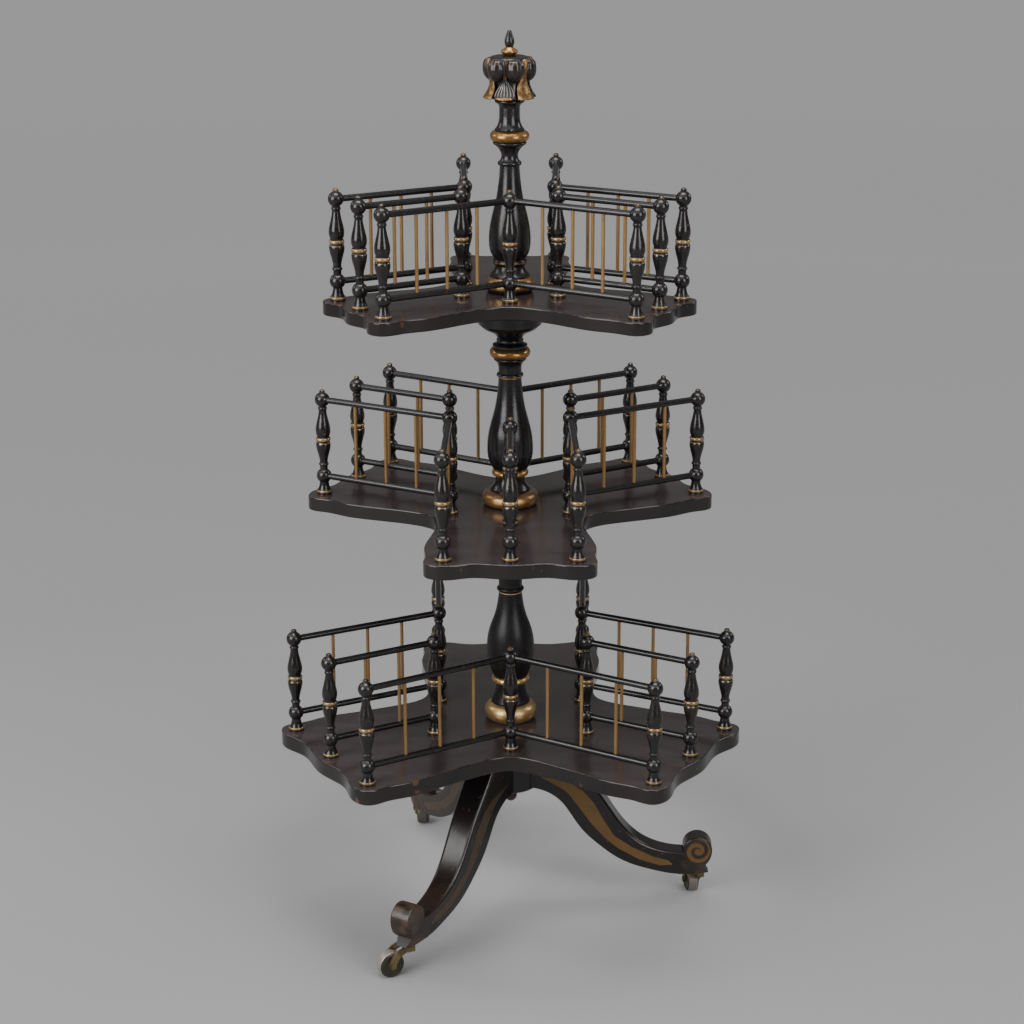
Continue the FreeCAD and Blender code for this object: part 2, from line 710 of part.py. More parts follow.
def top_column():
    """Column of the top shelf: a scotia above its bead, and a lip under the neck."""
    tier = TOP
    bead_top = tier.top + tier.bead_rise + COLUMN_BEAD_HEIGHT / 2
    scotia = bead_top + TOP_SCOTIA_RISE
    lip = tier.seat - COLUMN_TOP_LIP_HEIGHT
    edge = COLUMN_TOP_LIP_RADIUS - COLUMN_TOP_LIP_ROUND
    cove = edge - TOP_SCOTIA_RADIUS
    profile = vase(tier) + [
        [(TOP_SCOTIA_RADIUS + 0.03 * cove, 0.5 * (bead_top + scotia)), (TOP_SCOTIA_RADIUS, scotia),
         (TOP_SCOTIA_RADIUS + 0.37 * cove, scotia + 0.6 * (lip - scotia)), (edge, lip)],
        (COLUMN_TOP_LIP_RADIUS, lip + COLUMN_TOP_LIP_HEIGHT / 2, edge, tier.seat),
        (CAPITAL_TENON_RADIUS, tier.seat),
        (CAPITAL_TENON_RADIUS, tier.seat + CAPITAL_TENON_HEIGHT),
        (0, tier.seat + CAPITAL_TENON_HEIGHT),
    ]
    return bored(turned(profile), tier, tier.top + PIVOT_TOP_RISE + BORE_CLEARANCE)


def top_neck():
    """Gilt ring, flared neck and collar under the capital."""
    seat = TOP.seat
    top = TOP.cap_top
    ring = seat + NECK_RING_HEIGHT
    lip = ring + NECK_FLARE_LIP
    collar = top - NECK_COLLAR_HEIGHT
    cove = collar - NECK_COVE_HEIGHT
    flare = NECK_FLARE_RADIUS - NECK_RADIUS
    spread = NECK_COLLAR_RADIUS - NECK_RADIUS
    neck = turned([
        (0, seat),
        (NECK_RING_ROOT, seat),
        (NECK_RING_RADIUS, seat + NECK_RING_HEIGHT / 2, NECK_RING_ROOT, ring),
        (NECK_RADIUS + 0.85 * flare, ring),
        (NECK_FLARE_RADIUS, lip),
        [(NECK_RADIUS + 0.33 * flare, lip + 0.35 * (NECK_FLARE_HEIGHT - NECK_FLARE_LIP)),
         (NECK_RADIUS, ring + NECK_FLARE_HEIGHT), (NECK_RADIUS, cove)],
        (NECK_RADIUS + 0.13 * spread, cove + 0.61 * NECK_COVE_HEIGHT, NECK_RADIUS + 0.5 * spread, collar),
        (NECK_COLLAR_RADIUS, collar + NECK_COLLAR_HEIGHT / 2, NECK_COLLAR_RADIUS - NECK_COLLAR_ROUND, top),
        (CAPITAL_TENON_RADIUS, top),
        (CAPITAL_TENON_RADIUS, top + CAPITAL_TENON_HEIGHT),
        (0, top + CAPITAL_TENON_HEIGHT),
    ])
    return neck.cut(cylinder(CAPITAL_TENON_RADIUS, seat - OVERRUN, CAPITAL_TENON_HEIGHT + OVERRUN))


def capital():
    """Leafy capital: a flared bell under a crown of overhanging lobes."""
    foot = TOP.cap_top
    top = foot + CAPITAL_HEIGHT
    waist = foot + CAPITAL_WAIST_RISE
    edge = foot + CAPITAL_FLARE_RISE + CAPITAL_FLARE_EDGE
    flare = CAPITAL_FLARE_RADIUS - CAPITAL_WAIST_RADIUS
    core = turned([
        (0, foot),
        (NECK_COLLAR_RADIUS - NECK_COLLAR_ROUND, foot),
        (CAPITAL_FLARE_RADIUS, foot + CAPITAL_FLARE_RISE),
        (CAPITAL_FLARE_RADIUS, edge),
        [(CAPITAL_WAIST_RADIUS + 0.39 * flare, edge + 0.45 * (waist - edge)), (CAPITAL_WAIST_RADIUS, waist)],
        (CAPITAL_CROWN_RADIUS, foot + CAPITAL_CROWN_RISE),
        (CAPITAL_CROWN_RADIUS, top - CAPITAL_CROWN_BEVEL),
        (CAPITAL_CROWN_RADIUS - CAPITAL_CROWN_BEVEL, top),
        (0, top),
    ])
    lobes = []
    for index in range(CAPITAL_LOBES):
        turn = CAPITAL_LOBE_TURN + index * 360.0 / CAPITAL_LOBES
        place = polar(CAPITAL_LOBE_OUT, turn, foot + CAPITAL_LOBE_RISE)
        lobes.append(Part.makeSphere(CAPITAL_LOBE_RADIUS, place))
    body = core.fuse(lobes).Solids[0]
    body = body.cut(cylinder(CAPITAL_TENON_RADIUS, foot - OVERRUN, CAPITAL_TENON_HEIGHT + OVERRUN))
    return body.cut(cylinder(FINIAL_TENON_RADIUS, top - FINIAL_TENON_DEPTH, FINIAL_TENON_DEPTH + OVERRUN))


def finial():
    """Gilt bead and acorn, doweled into the capital."""
    foot = TOP.cap_top + CAPITAL_HEIGHT
    bead = foot + FINIAL_BEAD_HEIGHT
    tip = bead + FINIAL_ACORN_HEIGHT
    acorn = FINIAL_ACORN_RADIUS
    return turned([
        (0, foot - FINIAL_TENON_DEPTH),
        (FINIAL_TENON_RADIUS, foot - FINIAL_TENON_DEPTH),
        (FINIAL_TENON_RADIUS, foot),
        (0.62 * FINIAL_BEAD_RADIUS, foot),
        (0.94 * FINIAL_BEAD_RADIUS, foot + 0.28 * FINIAL_BEAD_HEIGHT),
        (FINIAL_BEAD_RADIUS, foot + 0.44 * FINIAL_BEAD_HEIGHT,
         0.72 * FINIAL_BEAD_RADIUS, foot + 0.72 * FINIAL_BEAD_HEIGHT),
        (0.7 * acorn, bead),
        [(0.98 * acorn, bead + 0.22 * FINIAL_ACORN_HEIGHT), (0.93 * acorn, bead + 0.45 * FINIAL_ACORN_HEIGHT),
         (0.5 * acorn, tip - FINIAL_TIP)],
        dome(0.5 * acorn, tip - FINIAL_TIP, tip) + (0, tip),
    ])


def bush(tier):
    """Brass sleeve of a shelf that runs on the pivot."""
    foot = tier.washer + WASHER_THICK + TURN_GAP
    height = tier.top + BUSH_RISE - foot
    sleeve = cylinder(tier.bush_radius, foot, height)
    return sleeve.cut(cylinder(tier.pivot_radius + PIVOT_CLEARANCE, foot - OVERRUN, height + 2 * OVERRUN))


def washer(tier):
    """Brass washer on a shoulder of the pivot, which carries a shelf's bush."""
    ring = cylinder(WASHER_RADIUS, tier.washer, WASHER_THICK)
    return ring.cut(cylinder(tier.pivot_radius, tier.washer - OVERRUN, WASHER_THICK + 2 * OVERRUN))


def iron_pivot():
    """Stepped iron bar from the hub to the top column, one shoulder under each shelf."""
    profile = [(0, HUB_TOP - PIVOT_SEAT), (PIVOT_RADIUS, HUB_TOP - PIVOT_SEAT)]
    radius = PIVOT_RADIUS
    for tier in TIERS:
        profile.append((radius, tier.washer))
        radius = tier.pivot_radius
        profile.append((radius, tier.washer))
    top = TOP.top + PIVOT_TOP_RISE
    profile += [(radius, top - PIVOT_BEVEL), (radius - PIVOT_BEVEL, top), (0, top)]
    return turned(profile)


def leg_curve(shares, start, end):
    """Points of a leg's side profile between a place at the hub and one at the scroll."""
    return [vec(start.x + out * (end.x - start.x), 0, end.z + up * (start.z - end.z)) for out, up in shares]


def leg_side():
    """S-curved side of a leg along +X, down to the middle of its scroll."""
    root = 0.5 * HUB_RADIUS
    scroll = vec(SCROLL_OUT, 0, SCROLL_RISE)
    rim = vec(SCROLL_OUT + SCROLL_RADIUS, 0, SCROLL_RISE)
    corner = vec(root, 0, LEG_TOP)
    back = leg_curve(LEG_BACK, vec(LEG_SHOULDER, 0, LEG_TOP), scroll)
    belly = leg_curve(LEG_BELLY, vec(root, 0, LEG_UNDER), rim)
    return Part.Face(Part.Wire([
        Part.makeLine(corner, back[0]),
        spline(back),
        Part.makeLine(scroll, rim),
        spline(belly[::-1]),
        Part.makeLine(belly[0], corner),
    ]))


def foot_side():
    """Side of the flat foot block under a scroll."""
    heel = FOOT_TOE - FOOT_LENGTH
    top = LEG_FOOT + FOOT_HEIGHT
    corners = [vec(heel, 0, LEG_FOOT), vec(FOOT_TOE, 0, LEG_FOOT),
               vec(FOOT_TOE - FOOT_SLOPE, 0, top), vec(heel, 0, top)]
    return Part.Face(Part.makePolygon(corners + corners[:1]))


def foot_plan():
    """Plan of the foot block, drawn in from the caster towards its tip, as a tall block."""
    heel = FOOT_TOE - FOOT_LENGTH
    wide = LEG_ROOT_WIDTH / 2
    tip = FOOT_TIP_WIDTH / 2
    half = wide + (LEG_TOE_WIDTH / 2 - wide) * FOOT_OUT / FOOT_TOE
    plan = [vec(heel, wide, 0), vec(FOOT_OUT, half, 0), vec(FOOT_TOE, tip, 0),
            vec(FOOT_TOE, -tip, 0), vec(FOOT_OUT, -half, 0), vec(heel, -wide, 0)]
    return Part.Face(Part.makePolygon(plan + plan[:1])).extrude(vec(0, 0, LEG_TOP))


def leg_taper():
    """Plan of a leg, narrower towards its toe, as a tall block."""
    far = FOOT_TOE + SCROLL_RADIUS
    wide = LEG_ROOT_WIDTH / 2
    thin = wide + (LEG_TOE_WIDTH / 2 - wide) * far / FOOT_TOE
    plan = [vec(0, wide, 0), vec(far, thin, 0), vec(far, -thin, 0), vec(0, -wide, 0)]
    return Part.Face(Part.makePolygon(plan + plan[:1])).extrude(vec(0, 0, LEG_TOP + OVERRUN))


def leg_scroll():
    """Round-edged roll at the end of a leg, standing a little proud of its sides."""
    half = SCROLL_WIDTH / 2
    rim = SCROLL_RADIUS - SCROLL_ROUND
    bulge = SCROLL_ROUND * (1 - math.sqrt(0.5))
    roll = turned([
        (0, -half),
        (rim, -half),
        (SCROLL_RADIUS - bulge, -half + bulge, SCROLL_RADIUS, -half + SCROLL_ROUND),
        (SCROLL_RADIUS, half - SCROLL_ROUND),
        (SCROLL_RADIUS - bulge, half - bulge, rim, half),
        (0, half),
    ])
    roll.rotate(ORIGIN, vec(1, 0, 0), 90)
    roll.translate(vec(SCROLL_OUT, 0, SCROLL_RISE))
    return roll


def leg_blank():
    """Leg along +X that rolls up into a scroll over a flat foot, with its back's edges rounded."""
    across = vec(0, LEG_ROOT_WIDTH, 0)
    middle = vec(0, -LEG_ROOT_WIDTH / 2, 0)
    foot = moved(foot_side().extrude(across), middle).common(foot_plan())
    blank = moved(leg_side().extrude(across), middle).fuse(foot).common(leg_taper()).removeSplitter()
    arrises = []
    for edge in blank.Edges:
        box = edge.BoundBox
        if box.ZMax > LEG_TOP - LEG_EASE and box.ZMin < SCROLL_RISE + SCROLL_RADIUS:
            arrises.append(edge)
    return blank.makeFillet(LEG_EASE, arrises).fuse(leg_scroll()).removeSplitter()


def leg_tenon():
    """Tongue of a leg that is housed in the hub."""
    inside = HUB_RADIUS - TENON_DEPTH
    box = Part.makeBox(TENON_DEPTH, TENON_WIDTH, LEG_TOP - TENON_BOTTOM)
    box.translate(vec(inside, -TENON_WIDTH / 2, TENON_BOTTOM))
    return box


def hub(tenons):
    """Turned block that the legs are tenoned into and the pivot stands in."""
    bulge = HUB_ROUND * (1 - math.sqrt(0.5))
    block = turned([
        (0, HUB_BOTTOM),
        (HUB_RADIUS - HUB_ROUND, HUB_BOTTOM),
        (HUB_RADIUS - bulge, HUB_BOTTOM + bulge, HUB_RADIUS, HUB_BOTTOM + HUB_ROUND),
        (HUB_RADIUS, HUB_TOP),
        (0, HUB_TOP),
    ])
    block = block.cut(cylinder(PIVOT_RADIUS, HUB_TOP - PIVOT_SEAT, PIVOT_SEAT + OVERRUN))
    block = block.cut(cylinder(DROP_TENON_RADIUS, HUB_BOTTOM - OVERRUN, DROP_TENON_LENGTH + OVERRUN))
    return block.cut(tenons)


def hub_drop():
    """Small turned drop doweled under the hub."""
    tip = HUB_BOTTOM - DROP_LENGTH
    swell = tip + 0.42 * DROP_LENGTH
    return turned([
        (0, tip),
        dome(DROP_RADIUS, swell, tip) + (DROP_RADIUS, swell),
        (0.72 * DROP_RADIUS, tip + 0.62 * DROP_LENGTH),
        (DROP_RADIUS, HUB_BOTTOM - DROP_PLATE),
        (DROP_RADIUS, HUB_BOTTOM),
        (DROP_TENON_RADIUS, HUB_BOTTOM),
        (DROP_TENON_RADIUS, HUB_BOTTOM + DROP_TENON_LENGTH),
        (0, HUB_BOTTOM + DROP_TENON_LENGTH),
    ])


def foot_plate():
    """Caster plate under a foot, with the socket that its stem turns in."""
    face = LEG_FOOT - PLATE_THICK
    plate = cylinder(PLATE_RADIUS, face, PLATE_THICK)
    plate = plate.fuse(cylinder(SOCKET_RADIUS, face, SOCKET_DEPTH)).removeSplitter()
    return plate.cut(cylinder(STEM_RADIUS + PIVOT_CLEARANCE, face - OVERRUN, SOCKET_DEPTH + 2 * OVERRUN))


def plate_screw():
    """Countersunk screw through the plate into the foot."""
    face = LEG_FOOT - PLATE_THICK
    return turned([
        (0, face),
        (SCREW_HEAD_RADIUS, face),
        (SCREW_RADIUS, face + SCREW_HEAD_DEPTH),
        (SCREW_RADIUS, face + SCREW_LENGTH - SCREW_POINT),
        (0, face + SCREW_LENGTH),
    ])


def plate_screws():
    one = plate_screw()
    return [
        moved(one, polar(SCREW_CIRCLE, index * 360.0 / PLATE_SCREWS, 0.0))
        for index in range(PLATE_SCREWS)
    ]


def caster_horn():
    """Swivelling horn, stem up the Z axis, whose cheeks trail along +X to the axle."""
    top = LEG_FOOT - PLATE_THICK - TURN_GAP
    under = top - CROWN_THICK
    inside = WHEEL_WIDTH / 2 + HORN_GAP
    stem_top = LEG_FOOT - PLATE_THICK + SOCKET_DEPTH - STEM_GAP
    crown = cylinder(CROWN_RADIUS, under, CROWN_THICK)
    stem = cylinder(STEM_RADIUS, under, stem_top - under)
    cheek = Part.Face(horn_cheek(top)).extrude(vec(0, HORN_THICK, 0))
    cheeks = [moved(cheek, vec(0, inside, 0)), moved(cheek, vec(0, -inside - HORN_THICK, 0))]
    back = horn_back()
    web = Part.makeBox(2 * back, 2 * (inside + HORN_THICK), CROWN_THICK)
    web.translate(vec(-back, -inside - HORN_THICK, under))
    horn = crown.fuse([stem, web] + cheeks).removeSplitter()
    return horn.cut(axle_bar())


def horn_back():
    """How far a horn's cheeks start behind the swivel axis."""
    return 0.6 * CROWN_RADIUS


def horn_cheek(top):
    """Outline of a horn's cheek, from its crown down to the boss round the axle."""
    boss = HORN_BOSS_RADIUS
    slant = math.radians(HORN_HEEL)
    back = vec(-horn_back(), 0, top)
    under = vec(-horn_back(), 0, top - CROWN_THICK)
    front = vec(CROWN_RADIUS, 0, top)
    outside = vec(CASTER_TRAIL + boss, 0, WHEEL_RADIUS)
    eighth = math.sqrt(0.5)
    brow = vec(front.x + eighth * (outside.x - front.x), 0, outside.z + eighth * (front.z - outside.z))
    arch = brow - vec(eighth * HORN_ARM, 0, eighth * HORN_ARM)
    below = vec(CASTER_TRAIL, 0, WHEEL_RADIUS - boss)
    heel = vec(CASTER_TRAIL + boss * math.cos(slant), 0, WHEEL_RADIUS - boss * math.sin(slant))
    return Part.Wire([
        Part.makeLine(back, front),
        Part.Arc(front, brow, outside).toShape(),
        Part.Arc(outside, below, heel).toShape(),
        Part.Arc(heel, arch, under).toShape(),
        Part.makeLine(under, back),
    ])


def axle_bar():
    """The hole of the axle right through both cheeks."""
    half = WHEEL_WIDTH / 2 + HORN_GAP + HORN_THICK
    return Part.makeCylinder(AXLE_RADIUS, 2 * half, vec(CASTER_TRAIL, -half, WHEEL_RADIUS), vec(0, 1, 0))


def axle():
    """Riveted axle with a low head outside each cheek."""
    half = WHEEL_WIDTH / 2 + HORN_GAP + HORN_THICK
    pin = axle_bar()
    for side in (-1, 1):
        head = Part.makeCylinder(AXLE_HEAD_RADIUS, AXLE_HEAD_THICK,
                                 vec(CASTER_TRAIL, side * half, WHEEL_RADIUS), vec(0, side, 0))
        pin = pin.fuse(head)
    return pin.removeSplitter()


def wheel():
    """Round-edged wheel with a raised boss on each side and a bore for the axle."""
    half = WHEEL_WIDTH / 2
    rim = WHEEL_RADIUS - WHEEL_ROUND
    dish = WHEEL_DISH
    bulge = WHEEL_ROUND * (1 - math.sqrt(0.5))
    boss = HORN_BOSS_RADIUS
    disc = turned([
        (0, -half),
        (boss, -half),
        (boss + dish, -half + dish),
        (rim - 2 * dish, -half + dish),
        (rim - dish, -half),
        (rim, -half),
        (WHEEL_RADIUS - bulge, -half + bulge, WHEEL_RADIUS, -half + WHEEL_ROUND),
        (WHEEL_RADIUS, half - WHEEL_ROUND),
        (WHEEL_RADIUS - bulge, half - bulge, rim, half),
        (rim - dish, half),
        (rim - 2 * dish, half - dish),
        (boss + dish, half - dish),
        (boss, half),
        (0, half),
    ])
    disc = disc.cut(cylinder(AXLE_RADIUS + PIVOT_CLEARANCE, -half - OVERRUN, WHEEL_WIDTH + 2 * OVERRUN))
    disc.rotate(ORIGIN, vec(1, 0, 0), 90)
    disc.translate(vec(CASTER_TRAIL, 0, WHEEL_RADIUS))
    return disc


def build_tripod():
    legs = (("right", RIGHT_LEG, RIGHT_TRAIL), ("back", BACK_LEG, BACK_TRAIL),
            ("front", FRONT_LEG, FRONT_TRAIL))
    tenon = leg_tenon()
    save("tripod_hub", hub([moved(tenon, ORIGIN, turn) for name, turn, trail in legs]))
    save("hub_drop", hub_drop())
    save("iron_pivot", iron_pivot())
    foot = vec(FOOT_OUT, 0, 0)
    screws = plate_screws()
    blank = leg_blank().cut(cylinder(HUB_RADIUS, 0.0, LEG_TOP + OVERRUN)).fuse(tenon).removeSplitter()
    socket = cylinder(SOCKET_RADIUS, LEG_FOOT - OVERRUN, SOCKET_DEPTH - PLATE_THICK + OVERRUN)
    leg = blank.cut([moved(tool, foot) for tool in [socket] + screws])
    plate = foot_plate().cut(screws)
    caster = {"horn": caster_horn(), "axle": axle(), "wheel": wheel()}
    all_screws = []
    for name, turn, trail in legs:
        place = polar(FOOT_OUT, turn, 0.0)
        save(name + "_leg", moved(leg, ORIGIN, turn))
        save(name + "_caster_plate", moved(plate, place, turn))
        for piece, shape in caster.items():
            save(name + "_caster_" + piece, moved(shape, place, trail))
        all_screws += [moved(screw, place, turn) for screw in screws]
    save("caster_screws", all_screws)


def build_tier(tier):
    posts = gallery(tier)
    save(tier.name + "_shelf", shelf(tier, posts))
    save(tier.name + "_base_ring", base_ring(tier))
    save(tier.name + "_bush", bush(tier))
    save(tier.name + "_washer", washer(tier))
    if tier is TOP:
        save("top_column", top_column())
        save("top_neck", top_neck())
        save("capital", capital())
        save("acorn_finial", finial())
    else:
        save(tier.name + "_column", lower_column(tier))
        save(tier.name + "_column_cap", column_cap(tier))
    if tier is not BOTTOM:
        save(tier.name + "_collar", shelf_collar(tier))


os.makedirs("parts", exist_ok=True)
build_tripod()
for shelf_tier in TIERS:
    build_tier(shelf_tier)
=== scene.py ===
# %% [markdown]
# # A revolving bookcase in ebonised and gilt wood
# Three shelves, each with three arms, turn one above the other round a column of turned vases.
# Their solids come from the CAD frame, in metres, with the floor at z = 0 and the turning axis
# on Z. This lesson lights them like a studio photograph, models the carved capital that a lathe
# can't make, and gives every piece its worn lacquer, gilding or brass.

# %% Load the frame
import math

import bmesh
import bpy
from mathutils import Matrix, Vector


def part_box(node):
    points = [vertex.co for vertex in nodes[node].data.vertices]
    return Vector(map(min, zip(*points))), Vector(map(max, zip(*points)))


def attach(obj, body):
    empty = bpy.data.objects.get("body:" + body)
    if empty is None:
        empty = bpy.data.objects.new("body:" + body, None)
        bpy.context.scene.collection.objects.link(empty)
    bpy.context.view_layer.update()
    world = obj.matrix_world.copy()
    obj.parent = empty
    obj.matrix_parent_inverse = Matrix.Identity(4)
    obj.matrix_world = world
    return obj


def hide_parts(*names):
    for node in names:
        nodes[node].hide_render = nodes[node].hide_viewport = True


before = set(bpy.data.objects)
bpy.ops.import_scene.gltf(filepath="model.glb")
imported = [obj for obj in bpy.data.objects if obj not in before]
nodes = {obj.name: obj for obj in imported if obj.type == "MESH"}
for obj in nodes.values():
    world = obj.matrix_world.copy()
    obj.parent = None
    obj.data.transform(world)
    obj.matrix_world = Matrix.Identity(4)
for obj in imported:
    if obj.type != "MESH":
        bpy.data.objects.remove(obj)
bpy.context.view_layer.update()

TIERS = ("bottom", "middle", "top")
shelf_top = {tier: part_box(tier + "_shelf")[1].z for tier in TIERS}
print("frame of", len(nodes), "nodes, shelf tops", {t: round(z, 4) for t, z in shelf_top.items()})

# %% [markdown]
# ## The camera
# The photograph looks down a little from a standing person's height, through a long lens. The
# camera's place was solved from the gallery posts, so the render can be laid over the picture.
# The small sideways shift is the photograph's own framing.

# %% Camera
SENSOR_MM = 36.0
LENS_MM = 87.04
FRAME_SHIFT = -0.01168
CAMERA_PLACE = (0.0, -3.793, 1.8710)
TILT_DOWN = math.radians(17.45)
SWING = -0.0058

scene = bpy.context.scene
camera = bpy.data.objects.new("camera", bpy.data.cameras.new("camera"))
scene.collection.objects.link(camera)
camera.data.sensor_width = SENSOR_MM
camera.data.lens = LENS_MM
camera.data.shift_x = FRAME_SHIFT
camera.location = CAMERA_PLACE
camera.rotation_euler = (math.radians(90.0) - TILT_DOWN, 0.0, SWING)
scene.camera = camera
print("camera", tuple(camera.location))

# %% [markdown]
# ## Sums for shaders
# A finish is a sum of masks and noises. Written as nodes it is hard to read, so this small class
# wraps a socket: arithmetic on it adds Math nodes, and one method adds any other node.

# %% Shader sums


class Value:
    """A socket in a node tree that can take part in Python sums."""

    def __init__(self, tree, socket):
        self.tree = tree
        self.socket = socket

    def node(self, kind, settings, links, out=0):
        """Add a node: its settings first, then the values or links of its sockets."""
        made = self.tree.nodes.new(kind)
        for key, setting in settings.items():
            if key == "stops":
                stops = made.color_ramp.elements
                for _ in setting[2:]:
                    stops.new(1.0)
                for stop, (place, grey) in zip(stops, setting):
                    stop.position = place
                    stop.color = (grey, grey, grey, 1.0)
            else:
                setattr(made, key, setting)
        for key, link in links.items():
            if isinstance(link, Value):
                self.tree.links.new(link.socket, made.inputs[key])
            else:
                made.inputs[key].default_value = link
        return Value(self.tree, made.outputs[out])

    def maths(self, operation, *others, clamp=False):
        """A Math node on this value and others."""
        links = dict(enumerate((self,) + others))
        return self.node("ShaderNodeMath", {"operation": operation, "use_clamp": clamp}, links)

    def __add__(self, other):
        return self.maths("ADD", other)

    def __radd__(self, other):
        return self.maths("ADD", other)

    def __sub__(self, other):
        return self.maths("SUBTRACT", other)

    def __rsub__(self, other):
        return self.node("ShaderNodeMath", {"operation": "SUBTRACT"}, {0: other, 1: self})

    def __mul__(self, other):
        return self.maths("MULTIPLY", other)

    def __truediv__(self, other):
        return self.maths("DIVIDE", other)

    def __abs__(self):
        return self.maths("ABSOLUTE")

    def clamped(self):
        """This value held between 0 and 1."""
        return self.maths("ADD", 0.0, clamp=True)

    def either(self, other):
        """The larger of two masks."""
        return self.maths("MAXIMUM", other)

    def long_side(self, other):
        """The hypotenuse over two lengths."""
        return (self * self + other * other).maths("SQRT")

    def mixed(self, first, second):
        """The first colour where this mask is 0, the second where it is 1."""
        links = {0: self, 6: first, 7: second}
        return self.node("ShaderNodeMix", {"data_type": "RGBA"}, links, out=2)

    def axis(self, index):
        """One coordinate of a place or direction."""
        return self.node("ShaderNodeSeparateXYZ", {}, {0: self}, out=index)

    def attribute(self, name):
        """A number kept on the vertices of the mesh."""
        return self.node("ShaderNodeAttribute", {"attribute_name": name}, {}, out="Fac")

    def facing_up(self):
        """1 where the surface lies flat like a floor, 0 where it stands upright."""
        return self.node("ShaderNodeNewGeometry", {}, {}, out="Normal").axis(2)

    def about(self, centre, turn=0.0):
        """This place seen from a centre, turned round Z by an angle in degrees."""
        moved = self.node("ShaderNodeVectorMath", {"operation": "SUBTRACT"}, {0: self, 1: centre})
        rotation = (0.0, 0.0, math.radians(turn))
        return moved.node("ShaderNodeMapping", {}, {"Vector": moved, "Rotation": rotation})

    def noise(self, scale, detail=3.0, stretch=None):
        """Noise of a scale at this place, drawn out along an axis where a stretch is given."""
        place = self
        if stretch is not None:
            place = self.node("ShaderNodeMapping", {}, {"Vector": self, "Scale": stretch})
        links = {"Vector": place, "Scale": scale, "Detail": detail}
        return self.node("ShaderNodeTexNoise", {}, links)

    def above(self, level, soft):
        """1 where this value is above a level, with a soft step."""
        return ((self - level) / soft + 0.5).clamped()

    def band(self, low, high, soft=0.0003):
        """1 where this value lies between two levels."""
        return self.above(low, soft) * (1.0 - self.above(high, soft))

    def bumped(self, strength, depth):
        """A normal bent by this value as a height."""
        links = {"Strength": strength, "Distance": depth, "Height": self}
        return self.node("ShaderNodeBump", {}, links)

    def surface(self, **sockets):
        """A Principled surface; a socket's name is written with _ for its spaces."""
        links = {name.replace("_", " "): value for name, value in sockets.items()}
        return self.node("ShaderNodeBsdfPrincipled", {}, links)


print("shader sums ready")

# %% Finishes on pieces


def finish(name, look):
    """A material whose look is a function from the place on the piece to a shader."""
    material = bpy.data.materials.new(name)
    material.use_nodes = True
    tree = material.node_tree
    tree.nodes.clear()
    place = Value(tree, tree.nodes.new("ShaderNodeTexCoord").outputs["Object"])
    output = tree.nodes.new("ShaderNodeOutputMaterial")
    tree.links.new(look(place).socket, output.inputs["Surface"])
    return material


def wear_coat(material, names):
    """Give CAD nodes a finish."""
    for name in names:
        nodes[name].data.materials.clear()
        nodes[name].data.materials.append(material)


print("finishes ready for", len(nodes), "nodes")

# %% [markdown]
# ## Floor and light
# Black lacquer shows mostly what it reflects, so the lights are chosen for their reflections:
# tall soft boxes on both sides of the camera draw the pair of upright streaks on the turned work,
# one overhead draws the line along each rail, and two small ones behind trim the outer edges. A
# broad sun keeps the floor an even grey. The sky is dark near the horizon, or the shelf tops
# would mirror it and look grey; seen by the camera itself it is as grey as the floor. The floor
# is painted paler under the piece, a painted fill light in its shadow, where a studio's many
# lights would lighten it.

# %% Floor
FLOOR_SPAN = 80.0
GREYS_END = 16.0
FLOOR_GREYS = [
    (0.0, 0.284), (0.05, 0.264), (0.11, 0.268), (0.20, 0.323), (0.34, 0.406), (0.62, 0.471),
    (0.87, 0.485),
]
CLOUD_GREY = (0.40, 0.40, 0.40, 1.0)
UNDER_CENTRE = (0.06, 0.12, 0.0)
UNDER_RADIUS = 0.47
SHADOW_FILL_GREY = (0.75, 0.75, 0.75, 1.0)

bpy.ops.object.select_all(action="DESELECT")
bpy.ops.mesh.primitive_plane_add(size=FLOOR_SPAN, location=(0.0, 0.0, 0.0))
floor = bpy.context.object
floor.name = "floor"


def floor_look(place):
    """Greys that change with the distance from the piece, and a pale round painted under it as
    fill light in its shadow.
    """
    far = place.axis(0).long_side(place.axis(1))
    pale = far.node("ShaderNodeValToRGB", {"stops": FLOOR_GREYS}, {0: far / GREYS_END})
    cloud = place.noise(2.0, 3.0)
    middle = place.about(UNDER_CENTRE)
    under = (1.0 - middle.axis(0).long_side(middle.axis(1)) / UNDER_RADIUS).clamped()
    under = under * under * (3.0 - under * 2.0)
    colour = (cloud * 0.04).mixed(pale, CLOUD_GREY)
    # painted light: the pale round fills the shadow under the piece
    colour = (under * 0.87).mixed(colour, SHADOW_FILL_GREY)
    return place.surface(Base_Color=colour, Roughness=0.8 + cloud * 0.1)


floor.data.materials.append(finish("floor_grey", floor_look))
print("floor", FLOOR_SPAN, "m across")

# %% Lights
FACE = (0.0, 0.0, 1.0)
SHELVES = (0.0, 0.0, 0.9)
LEGS = (0.0, 0.0, 0.6)
SOFT_BOXES = [
    ("left_box", (-3.0, -2.6, 2.1), FACE, 2.6, 2.4, 135.0),
    ("right_box", (2.46, -3.15, 2.1), FACE, 1.6, 2.4, 66.0),
    ("top_box", (0.0, -0.4, 4.2), LEGS, 2.2, 1.4, 75.0),
    ("left_rim", (-3.1, 0.9, 2.4), SHELVES, 0.9, 1.2, 12.0),
    ("right_rim", (3.1, 0.9, 2.4), SHELVES, 0.9, 1.2, 16.0),
]
SUN_STRENGTH = 1.3
SUN_SPREAD = math.radians(80.0)
SUN_LEAN = (math.radians(20.0), math.radians(-14.0), 0.0)


def soft_box(name, place, aim, width, height, watts):
    """A rectangular area light at a place, turned to face a point."""
    data = bpy.data.lights.new(name, "AREA")
    data.shape = "RECTANGLE"
    data.size = width
    data.size_y = height
    data.energy = watts
    light = bpy.data.objects.new(name, data)
    scene.collection.objects.link(light)
    light.location = place
    light.rotation_euler = (Vector(aim) - Vector(place)).to_track_quat("-Z", "Y").to_euler()


